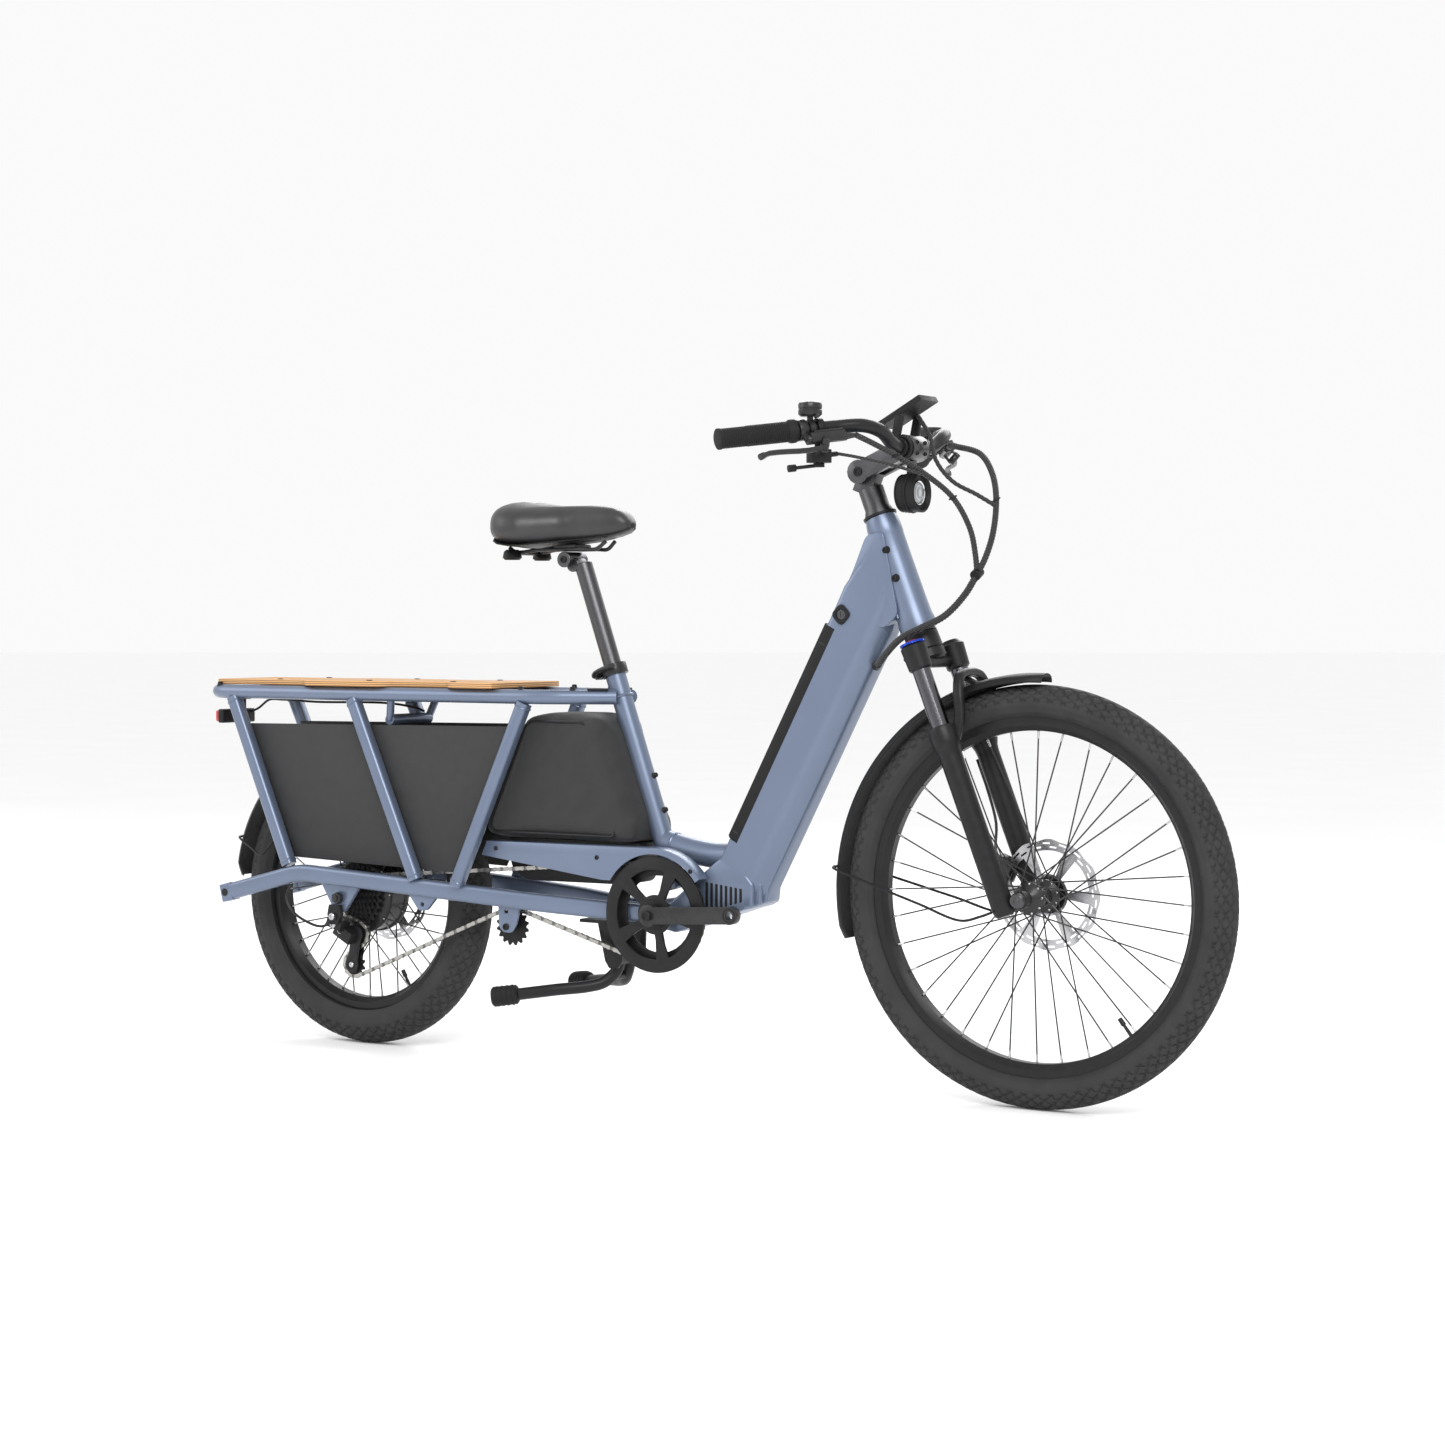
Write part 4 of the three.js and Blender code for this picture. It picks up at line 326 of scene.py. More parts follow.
# painted shade: a darker copy of the chain steel for the parts set between the outer plates
CHAIN_PAINTED_SHADE = brushed("chain_shadow", (0.20, 0.195, 0.185), 0.38, (3, 3, 3))
RUBBER = finish("tyre_rubber", (0.026, 0.026, 0.027), 0.66, vary=0.16, grain=25, relief=0.3,
                relief_scale=700,
                gloss=0.25)
GRIP = finish("grip_rubber", (0.009, 0.009, 0.0095), 0.66, relief=0.45, relief_scale=1200, gloss=0.25)
DECK = plywood()
CLOTH = woven("bag_cloth", (0.016, 0.016, 0.017), 420)
# painted shade: the braid's gaps between strands are painted down to 5 % of the thread colour
BRAID = woven("cable_braid", (0.042, 0.042, 0.044), 150, 0.9, 0.05)
SKIN = leather()
BLUE = finish("dial_blue", (0.02, 0.06, 0.42), 0.3, metal=0.85, relief=0.04)
RED = finish("dial_red", (0.45, 0.02, 0.03), 0.35, metal=0.6, relief=0.04)
RED_LENS = lens("red_lens", (0.55, 0.01, 0.02), 0.15)
CLEAR_LENS = lens("clear_lens", (0.42, 0.43, 0.45))
SCREEN = finish("display_glass", (0.012, 0.014, 0.018), 0.12, vary=0.3, grain=12, relief=0.01, coat=1.0)
CHROME = brushed("reflector", (0.80, 0.80, 0.82), 0.14, (1, 1, 1))


# ---------------------------------------------------------------- mesh building
def smooth_path(points, per=8):
    """A centripetal Catmull-Rom curve through the points."""
    points = [Vector(p) for p in points]
    ends = [points[0] * 2 - points[1], *points, points[-1] * 2 - points[-2]]
    out = []
    for i in range(1, len(ends) - 2):
        a, b, c, d = ends[i - 1:i + 3]
        ta = max((b - a).length, 1e-6) ** 0.5
        tb = max((c - b).length, 1e-6) ** 0.5
        tc = max((d - c).length, 1e-6) ** 0.5
        start = ((b - a) / ta - (c - a) / (ta + tb) + (c - b) / tb) * tb
        end = ((c - b) / tb - (d - b) / (tb + tc) + (d - c) / tc) * tb
        for k in range(per):
            t = k / per
            out.append(b * (2 * t ** 3 - 3 * t * t + 1) + start * (t ** 3 - 2 * t * t + t)
                       + c * (3 * t * t - 2 * t ** 3) + end * (t ** 3 - t * t))
    out.append(points[-1])
    return out


def quarter(a, corner, b, count=8):
    a, corner, b = Vector(a), Vector(corner), Vector(b)
    steps = [i / count for i in range(count + 1)]
    return [a * (1 - t) ** 2 + corner * 2 * t * (1 - t) + b * t * t for t in steps]


def round_section(radius, sides):
    return [(radius * math.cos(2 * math.pi * i / sides), radius * math.sin(2 * math.pi * i / sides))
            for i in range(sides)]


def box_section(width, height, corner, steps=4):
    out = []
    for cx, cy, start in ((1, 1, 0), (-1, 1, 90), (-1, -1, 180), (1, -1, 270)):
        for i in range(steps + 1):
            a = math.radians(start + 90 * i / steps)
            out.append((cx * (width / 2 - corner) + corner * math.cos(a),
                        cy * (height / 2 - corner) + corner * math.sin(a)))
    return out


class Build:
    """Collects closed shapes, in millimetres, into one piece."""

    def __init__(self):
        self.verts, self.faces, self.slots = [], [], []

    def add(self, verts, faces, slot=0):
        base = len(self.verts)
        self.verts += [Vector(v) for v in verts]
        self.faces += [[base + i for i in f] for f in faces]
        self.slots += [slot] * len(faces)
        return self

    def mesh_of(self, bm, slot=0):
        bm.verts.ensure_lookup_table()
        bm.normal_update()
        self.add([v.co for v in bm.verts], [[v.index for v in f.verts] for f in bm.faces], slot)
        bm.free()
        return self

    def sweep(self, section, path, slot=0, scale=None, twist=0.0):
        path = [Vector(p) for p in path]
        verts, faces, n = [], [], len(section)
        ahead = (path[1] - path[0]).normalized()
        side = Y if abs(ahead.y) < 0.9 else Vector((0, 0, 1)).cross(ahead)
        side = (side - ahead * ahead.dot(side)).normalized()
        for i, p in enumerate(path):
            before, after = path[max(i - 1, 0)], path[min(i + 1, len(path) - 1)]
            turn = (after - before).normalized()
            side = (side - turn * turn.dot(side)).normalized()
            if i:
                side.rotate(Quaternion(turn, twist * (p - path[i - 1]).length))
            up = turn.cross(side)
            k = scale(i / (len(path) - 1)) if scale else 1
            verts += [p + side * (u * k) + up * (v * k) for u, v in section]
        for i in range(len(path) - 1):
            for j in range(n):
                k = (j + 1) % n
                faces.append([i * n + j, i * n + k, (i + 1) * n + k, (i + 1) * n + j])
        faces.append(list(range(n))[::-1])
        faces.append([(len(path) - 1) * n + j for j in range(n)])
        return self.add(verts, faces, slot)

    def cord(self, points, radius, slot=0, per=26, strands=5):
        """Braided sleeve: a lobed section that turns as it follows the curve."""
        section = []
        for i in range(4 * strands):
            a = math.pi * i / (2 * strands)
            r = radius * (1 - 0.13 * (1 - math.cos(strands * a)) / 2)
            section.append((r * math.cos(a), r * math.sin(a)))
        return self.sweep(section, smooth_path(points, per), slot, twist=0.24)

    def tube(self, points, radius, sides=18, per=8, slot=0, scale=None):
        return self.sweep(round_section(radius, sides), smooth_path(points, per) if per else points, slot,
                          scale)

    def rod(self, a, b, radius, end=None, sides=28, slot=0, round_edge=0.6):
        a, b = Vector(a), Vector(b)
        end = radius if end is None else end
        length = (b - a).length
        e = min(round_edge, length / 3, min(radius, end) / 2)
        profile = [(0, 0), (radius - e, 0), (radius, e), (end, length - e), (end - e, length), (0, length)]
        return self.lathe(profile, a, b - a, sides, slot)

    def lathe(self, profile, origin, axis=Y, segments=48, slot=0):
        """Profile of (radius, along) pairs; it ends on the axis or closes on itself."""
        turn = Vector((0, 0, 1)).rotation_difference(Vector(axis).normalized())
        closed = (Vector(profile[0]) - Vector(profile[-1])).length < 1e-6
        rows = profile[:-1] if closed else profile
        verts, faces, index = [], [], []
        for r, along in rows:
            if r < 1e-6:
                index.append([len(verts)] * segments)
                verts.append(turn @ Vector((0, 0, along)) + Vector(origin))
                continue
            index.append(list(range(len(verts), len(verts) + segments)))
            for s in range(segments):
                a = 2 * math.pi * s / segments
                verts.append(turn @ Vector((r * math.cos(a), r * math.sin(a), along)) + Vector(origin))
        pairs = list(zip(range(len(rows)), list(range(1, len(rows))) + ([0] if closed else [])))
        for i, j in pairs:
            for s in range(segments):
                t = (s + 1) % segments
                ring = [index[i][s], index[i][t], index[j][t], index[j][s]]
                corners = [c for k, c in enumerate(ring) if c not in ring[:k]]
                if len(corners) > 2:
                    faces.append(corners)
        return self.add(verts, faces, slot)

    def plate(self, outer, holes, y0, y1, slot=0, bevel=0.0, plane="xz"):
        """Flat plate with holes, drawn in the side view (x, z) or from above (x, y)."""
        curve = bpy.data.curves.new("outline", "CURVE")
        curve.dimensions = "2D"
        curve.fill_mode = "BOTH"
        curve.extrude = max((y1 - y0) / 2 - bevel, 0.01)
        curve.bevel_depth = bevel
        curve.bevel_resolution = 1
        curve.offset = -bevel
        for loop in [outer, *holes]:
            spline = curve.splines.new("POLY")
            spline.points.add(len(loop) - 1)
            for point, (u, v) in zip(spline.points, loop):
                point.co = (u, v, 0, 1)
            spline.use_cyclic_u = True
        holder = bpy.data.objects.new("outline", curve)
        mesh = holder.to_mesh()
        mid = (y0 + y1) / 2
        if plane == "xz":
            verts = [Vector((v.co.x, mid - v.co.z, v.co.y)) for v in mesh.vertices]
        else:
            verts = [Vector((v.co.x, v.co.y, mid + v.co.z)) for v in mesh.vertices]
        faces = [list(p.vertices) for p in mesh.polygons]
        holder.to_mesh_clear()
        bpy.data.objects.remove(holder)
        bpy.data.curves.remove(curve)
        return self.add(verts, faces, slot)

    def block(self, size, centre, slot=0, turn=None, bevel=1.0):
        bm = bmesh.new()
        bmesh.ops.create_cube(bm, size=1, matrix=Matrix.Diagonal((*size, 1)))
        if bevel:
            bmesh.ops.bevel(bm, geom=bm.edges[:], offset=bevel, segments=3, profile=0.5, affect="EDGES")
        place_at = Matrix.Translation(Vector(centre)) @ (turn.to_matrix().to_4x4() if turn else Matrix())
        bmesh.ops.transform(bm, matrix=place_at, verts=bm.verts)
        return self.mesh_of(bm, slot)

    def prism(self, outline, y0, y1, slot=0, bevel=0.0):
        """Solid with a side-view outline, its edges rounded over."""
        bm = bmesh.new()
        low = [bm.verts.new((x, y0, z)) for x, z in outline]
        high = [bm.verts.new((x, y1, z)) for x, z in outline]
        n = len(outline)
        bm.faces.new(low)
        bm.faces.new(high[::-1])
        for i in range(n):
            bm.faces.new([low[(i + 1) % n], low[i], high[i], high[(i + 1) % n]])
        bmesh.ops.recalc_face_normals(bm, faces=bm.faces)
        if bevel:
            bmesh.ops.bevel(bm, geom=bm.edges[:], offset=bevel, segments=3, profile=0.5, affect="EDGES",
                            clamp_overlap=True)
        return self.mesh_of(bm, slot)

    def ring(self, centre, axis, radius, thick, sides=40, slot=0, wobble=0.0):
        """A round cord in a circle; with wobble it is a rippled weld bead."""
        axis = Vector(axis).normalized()
        side = axis.orthogonal().normalized()
        other = axis.cross(side)
        verts, faces = [], []
        for i in range(sides):
            a = 2 * math.pi * i / sides
            out = side * math.cos(a) + other * math.sin(a)
            t = thick * (1 + wobble * (i % 2))
            for j in range(6):
                b = 2 * math.pi * j / 6
                verts.append(Vector(centre) + out * (radius + t * math.cos(b)) + axis * (t * math.sin(b)))
        for i in range(sides):
            for j in range(6):
                k, m = (i + 1) % sides, (j + 1) % 6
                faces.append([i * 6 + j, k * 6 + j, k * 6 + m, i * 6 + m])
        return self.add(verts, faces, slot)

    def bead(self, centre, axis, width, height, slot=0):
        """Weld bead round a box tube."""
        axis = Vector(axis).normalized()
        side = (Y - axis * axis.dot(Y)).normalized()
        up = axis.cross(side)
        loop = [Vector(centre) + side * u + up * v for u, v in box_section(width, height, 8, 3)]
        return self.sweep(round_section(1.7, 6), loop + loop[:2], slot)

    def bolt(self, at, axis, radius=5, height=4, slot=0):
        """Cap screw with a round socket."""
        axis = Vector(axis).normalized()
        at = Vector(at)
        h = height
        r = radius
        self.lathe([(0, -1), (r, -1), (r, h - 0.8), (r - 0.8, h), (r * 0.55, h), (r * 0.5, h * 0.4),
                    (0, h * 0.4)],
                   at, axis, 18, slot)
        return self

    def piece(self, name, materials, body, replaces=(), slot=None, angle=38, hold=False):
        mesh = bpy.data.meshes.new(name)
        mesh.from_pydata([TO_METRES @ v for v in self.verts], [], self.faces)
        for polygon, index in zip(mesh.polygons, self.slots):
            polygon.material_index = index
        for made in materials if isinstance(materials, (list, tuple)) else [materials]:
            mesh.materials.append(made)
        bm = bmesh.new()
        bm.from_mesh(mesh)
        bmesh.ops.remove_doubles(bm, verts=bm.verts, dist=1e-6)
        bmesh.ops.recalc_face_normals(bm, faces=bm.faces)
        bm.to_mesh(mesh)
        bm.free()
        mesh.polygons.foreach_set("use_smooth", [True] * len(mesh.polygons))
        mesh.set_sharp_from_angle(angle=math.radians(angle))
        made = bpy.data.objects.new(name, mesh)
        bpy.context.scene.collection.objects.link(made)
        if not hold:
            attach(made, body)
        if replaces:
            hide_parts(*replaces)
        return made


# ---------------------------------------------------------------- CAD nodes that are shown
def smoothing_group():
    """Geometry nodes that shade smooth except over sharp edges."""
    tree = bpy.data.node_groups.new("smooth_except_edges", "GeometryNodeTree")
    tree.interface.new_socket("Geometry", in_out="INPUT", socket_type="NodeSocketGeometry")
    tree.interface.new_socket("Geometry", in_out="OUTPUT", socket_type="NodeSocketGeometry")
    enter = tree.nodes.new("NodeGroupInput")
    leave = tree.nodes.new("NodeGroupOutput")
    soften = tree.nodes.new("GeometryNodeSetShadeSmooth")
    sharpen = tree.nodes.new("GeometryNodeSetShadeSmooth")
    sharpen.domain = "EDGE"
    sharpen.inputs["Shade Smooth"].default_value = False
    angle = tree.nodes.new("GeometryNodeInputMeshEdgeAngle")
    test = tree.nodes.new("FunctionNodeCompare")
    test.operation = "GREATER_THAN"
    test.inputs[1].default_value = math.radians(36)
    tree.links.new(angle.outputs["Unsigned Angle"], test.inputs[0])
    tree.links.new(enter.outputs[0], soften.inputs["Geometry"])
    tree.links.new(soften.outputs[0], sharpen.inputs["Geometry"])
    tree.links.new(test.outputs["Result"], sharpen.inputs["Selection"])
    tree.links.new(sharpen.outputs[0], leave.inputs[0])
    return tree


SMOOTHING = smoothing_group()


def dress(name, made, width=0.8):
    """Gives a CAD node its material and softened edges."""
    node = NODES[name]
    node.data.materials.clear()
    node.data.materials.append(made)
    weld = node.modifiers.new("weld", "WELD")
    weld.merge_threshold = 1e-5
    if width:
        edges = node.modifiers.new("edges", "BEVEL")
        edges.width = width * MM
        edges.segments = 2
        edges.limit_method = "ANGLE"
        edges.angle_limit = math.radians(36)
    shade = node.modifiers.new("smooth", "NODES")
    shade.node_group = SMOOTHING


# ---------------------------------------------------------------- wheels
def tyre(name, centre, radius, half, bead, blocks):
    """Tyre with raised side lines and a block tread cut by slanted grooves."""
    across, around = 64, blocks * TREAD_STEPS
    middle_r = radius - half
    reach = math.acos(max(-0.9, -(middle_r - bead - 1) / half)) if middle_r > bead else math.pi / 2
    verts, faces = [], []
    for i in range(around):
        turn = 2 * math.pi * i / around
        for j in range(across + 1):
            s = 2 * j / across - 1
            swell = half - tread_groove(i / TREAD_STEPS, s)
            if 0.68 < abs(s) < 0.71 or 0.84 < abs(s) < 0.86:
                swell += 0.7
            r = middle_r + swell * math.cos(s * reach)
            y = swell * math.sin(s * reach)
            verts.append(Vector((r * math.cos(turn), y, r * math.sin(turn))) + centre)
    n = across + 1
    for i in range(around):
        k = (i + 1) % around
        for j in range(n):
            m = (j + 1) % n
            faces.append([i * n + j, k * n + j, k * n + m, i * n + m])
    return Build().add(verts, faces).piece(name, RUBBER, name, slot="tyre", angle=50, hold=True)


TREAD_STEPS = 10
TREAD_EDGE = 0.60
TREAD_DEPTH = 2.4


def tread_groove(block, s):
    """Depth of the crossing slanted grooves that leave rows of diamond blocks."""
    a = abs(s)
    if a < 0.06 or a > TREAD_EDGE:
        return 0.0
    first = (block + 4.4 * a) % 1
    second = (block - 4.4 * a + (0.5 if s > 0 else 0)) % 1
    if first < 0.19 or second < 0.19:
        return TREAD_DEPTH if a > 0.12 else TREAD_DEPTH / 2
    return 0.0


def rim(centre, bead, inner, half, valve_angle):
    b = Build()
    b.lathe([(inner, -half * 0.45), (inner + 4, -half * 0.62), (inner + 9, -half * 0.95),
             (bead - 2, -half * 1.02),
             (bead, -half), (bead + 2.5, -half * 0.96), (bead + 2.5, -half * 0.86), (bead - 3, -half * 0.8),
             (bead - 3, half * 0.8), (bead + 2.5, half * 0.86), (bead + 2.5, half * 0.96), (bead, half),
             (bead - 2, half * 1.02), (inner + 9, half * 0.95), (inner + 4, half * 0.62),
             (inner, half * 0.45),
             (inner, -half * 0.45)], centre, Y, 144)
    ray = Vector((math.cos(valve_angle), 0, math.sin(valve_angle)))
    b.rod(centre + ray * (inner + 2), centre + ray * (inner - 22), 3.2, 2.6, 12)
    b.rod(centre + ray * (inner - 20), centre + ray * (inner - 33), 4.2, 3.8, 12)
    return b


def spokes(b, centre, flange_r, flange_y, inner, crossing, slot, nipple_slot):
    for i in range(36):
        side = i % 2
        lean = crossing if i % 4 < 2 else -crossing
        a = 2 * math.pi * i / 36
        h = a + lean
        y = flange_y[side] + (2.1 if lean > 0 else -2.1)
        start = centre + Vector((flange_r * math.cos(h), y, flange_r * math.sin(h)))
        foot = math.copysign(3, flange_y[side])
        end = centre + Vector(((inner - 0.5) * math.cos(a), foot, (inner - 0.5) * math.sin(a)))
        b.rod(start, end, 1.3, sides=8, slot=slot, round_edge=0.1)
        along = (start - end).normalized()
        b.rod(end, end + along * 13, 2.1, 1.6, 8, slot=nipple_slot)
        b.rod(start - Vector((0, 3, 0)), start + Vector((0, 3, 0)), 2.0, sides=8, slot=nipple_slot)


def circle(centre, radius, count=24, start=0.0):
    return [(centre[0] + radius * math.cos(start + 2 * math.pi * i / count),
             centre[1] + radius * math.sin(start + 2 * math.pi * i / count)) for i in range(count)]


def window(centre, r0, r1, a0, a1, steps=8):
    """Opening bounded by two arcs about a centre."""
    out = []
    for i in range(steps + 1):
        a = a0 + (a1 - a0) * i / steps
        out.append((centre[0] + r1 * math.cos(a), centre[1] + r1 * math.sin(a)))
    for i in range(steps + 1):
        a = a1 + (a0 - a1) * i / steps
        out.append((centre[0] + r0 * math.cos(a), centre[1] + r0 * math.sin(a)))
    return out


def brake_disc(name, body, centre, y, hub_r):
    mid = (centre.x, centre.z)
    outer = [(mid[0] + (89 + 1.4 * math.cos(12 * a)) * math.cos(a),
              mid[1] + (89 + 1.4 * math.cos(12 * a)) * math.sin(a))
             for a in (2 * math.pi * i / 180 for i in range(180))]
    holes = [circle(mid, hub_r, 30)]
    for i in range(6):
        a = math.pi * i / 3
        holes.append(window(mid, hub_r + 14, 72, a + 0.14, a + 0.88))
    for i in range(18):
        a = 2 * math.pi * i / 18
        holes.append(window(mid, 76, 79, a, a + 0.16, 3))
        holes.append(window(mid, 82, 85, a + 0.15, a + 0.31, 3))
    b = Build().plate(outer, holes, y + 0.2, y + 2.2)
    b.lathe([(hub_r, y - 1), (hub_r + 10, y - 1), (hub_r + 10, y + 3.4), (hub_r, y + 3.4), (hub_r, y - 1)],
            Vector((centre.x, 0, centre.z)), Y, 40, 1)
    for i in range(6):
        a = math.pi * i / 3
        b.bolt((centre.x + (hub_r + 5) * math.cos(a), y + 3, centre.z + (hub_r + 5) * math.sin(a)), Y, 2.6,
               2, 1)
    b.piece(name + "_rotor", [STEEL, BLACK], body, [name], "steel")


def wheels():
    for name, body, centre, radius, half, bead, blocks in (
            ("front_tyre", "front_wheel", FRONT_AXLE, FRONT_R, 28.4, 287, 84),
            ("rear_tyre", "rear_wheel", REAR_AXLE, REAR_R, 37.6, 211, 66)):
        made = tyre(name + "_tread", centre, radius, half, bead, blocks)
        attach(made, body)
        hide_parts(name)
    rim(FRONT_AXLE, 287, 266, 17, math.radians(-52)).piece(
        "front_rim_hoop", BLACK, "front_wheel", ["front_rim"], "alloy_black")
    rim(REAR_AXLE, 211, 190, 20, math.radians(-60)).piece(
        "rear_rim_hoop", BLACK, "rear_wheel", ["rear_rim"], "alloy_black")

    hub = Build()
    hub.lathe([(7, -52), (11, -52), (11, -40), (19, -34), (26.5, -31), (27, -29), (26.5, -27), (17, -22),
               (15, -10),
               (15, 10), (17, 20), (26.5, 25), (27, 27), (26.5, 29), (20, 33), (20, 40.4), (11, 41),
               (11, 52), (7, 52),
               (7, -52)], FRONT_AXLE, Y, 64)
    spokes(hub, FRONT_AXLE, 24, [-29, 27], 266, 0.95, 0, 1)
    hub.piece("front_hub_spokes", [BLACK_GLOSS, STEEL], "front_wheel", ["front_hub"], "alloy_black")

    motor = Build()
    motor.lathe([(7, -32), (22, -32), (40, -29), (60, -27), (68, -24), (70, -21), (70, -17), (67, -15),
                 (67, 22),
                 (70, 24), (70, 30), (66, 35), (50, 38), (34, 40), (24, 45), (22, 47), (22, 58), (7, 58),
                 (7, -32)],
                REAR_AXLE, Y, 96)
    for i in range(12):
        a = 2 * math.pi * i / 12
        motor.bolt(REAR_AXLE + Vector((57 * math.cos(a), 37, 57 * math.sin(a))), Y, 3, 2)
    spokes(motor, REAR_AXLE, 67, [-20, 27], 190, 0.3, 0, 1)
    motor.piece("hub_motor_spokes", [BLACK_GLOSS, STEEL], "rear_wheel", ["hub_motor"], "alloy_black")
    brake_disc("front_disc", "front_wheel", FRONT_AXLE, 41.6, 20)
    brake_disc("rear_disc", "rear_wheel", REAR_AXLE, 60, 24)


# ---------------------------------------------------------------- drivetrain
def chain_route(offset=0.0):
    """Points round the five toothed wheels, on the chain's pitch line."""
    out = []
    count = len(TRAIN)
    for i in range(count):
        (pc, pt, ps), (c, t, s), (nc, nt, ns) = TRAIN[i - 1], TRAIN[i], TRAIN[(i + 1) % count]
        start = tangent(pc, ps * pitch_radius(pt), c, s * pitch_radius(t))
        end = tangent(c, s * pitch_radius(t), nc, ns * pitch_radius(nt))
        sweep = end - start
        while s > 0 and sweep > 0:
            sweep -= 2 * math.pi
        while s > 0 and sweep < -2 * math.pi:
            sweep += 2 * math.pi
        while s < 0 and sweep < 0:
            sweep += 2 * math.pi
        while s < 0 and sweep > 2 * math.pi:
            sweep -= 2 * math.pi
        r = s * pitch_radius(t) + offset
        steps = max(2, int(abs(sweep) / 0.08))
        for k in range(steps + 1):
            a = start + sweep * k / steps
            out.append(Vector((c.x + r * math.cos(a), CHAIN_Y, c.z + r * math.sin(a))))
    return out


def tangent(a, ra, b, rb):
    d = b - a
    distance = math.hypot(d.x, d.z)
    return math.atan2(d.z, d.x) + math.pi / 2 - math.asin((ra - rb) / distance)


def along_loop(points, gap):
    """Evenly spaced points on a closed polyline, as close to the gap as fits."""
    loop = points + [points[0]]
    lengths = [(loop[i + 1] - loop[i]).length for i in range(len(points))]
    total = sum(lengths)
    count = 2 * round(total / gap / 2)
    out, i, walked = [], 0, 0.0
    for k in range(count):
        target = total * k / count
        while walked + lengths[i] < target:
            walked += lengths[i]
            i += 1
        out.append(loop[i].lerp(loop[i + 1], (target - walked) / max(lengths[i], 1e-9)))
    return out


def chain():
    pins = along_loop(chain_route(), PITCH)
    b = Build()
    for i, pin in enumerate(pins):
        after = pins[(i + 1) % len(pins)]
        d = after - pin
        turn = math.atan2(d.z, d.x)
        wide = 3.1 if i % 2 else 2.0
        for side in (-1, 1):
            y = CHAIN_Y + side * wide
            outline = []
            for centre, start in ((after, -90), (pin, 90)):
                for k in range(6):
                    a = math.radians(start + 180 * k / 5) + turn
                    outline.append((centre.x + 3.7 * math.cos(a), centre.z + 3.7 * math.sin(a)))
            waist_a, waist_b = (pin + after) / 2, Vector((-math.sin(turn), 0, math.cos(turn))) * 2.9
            outline.insert(6, ((waist_a + waist_b).x, (waist_a + waist_b).z))
            outline.append(((waist_a - waist_b).x, (waist_a - waist_b).z))
            n = len(outline)
            verts = [Vector((x, y - 0.45, z)) for x, z in outline] + [Vector((x, y + 0.45, z)) for x,
                                                                      z in outline]
            faces = [list(range(n))[::-1], list(range(n, 2 * n))]
            faces += [[k, (k + 1) % n, n + (k + 1) % n, n + k] for k in range(n)]
            # inner plates (slot 1) take the painted-shade steel, outer plates the plain chain steel
            b.add(verts, faces, slot=0 if i % 2 else 1)
        b.rod(pin - Y * 3.9, pin + Y * 3.9, 1.9, sides=8)
        # rollers also take the painted-shade steel
        b.rod(pin - Y * 1.8, pin + Y * 1.8, 3.4, sides=10, slot=1)
    b.piece("chain_links", [CHAIN_STEEL, CHAIN_PAINTED_SHADE], "frame", ["chain"], "steel")


def teeth(centre, count, tip, root):
    """Outline of a sprocket with rounded, tapering teeth."""
    out = []
    for i in range(count):
        base = 2 * math.pi * i / count
        step = 2 * math.pi / count
        for share, r in ((0.06, root), (0.24, (root + tip) / 2), (0.38, tip), (0.62, tip),
                         (0.76, (root + tip) / 2), (0.94, root)):
            a = base + share * step
            out.append((centre.x + r * math.cos(a), centre.z + r * math.sin(a)))
    return out


def sprocket(b, centre, count, y, bore, windows=0, slot=0, thick=1.9, inner=None):
    pr = pitch_radius(count)
    holes = [circle((centre.x, centre.z), bore, 30)]
    for i in range(windows):
        a = 2 * math.pi * i / windows
        holes.append(window((centre.x, centre.z), inner or bore + 5, pr - 9, a + 0.12,
                            a + 2 * math.pi / windows - 0.12))
    b.plate(teeth(centre, count, pr + 2.2, pr - 3.6), holes, y - thick / 2, y + thick / 2, slot)


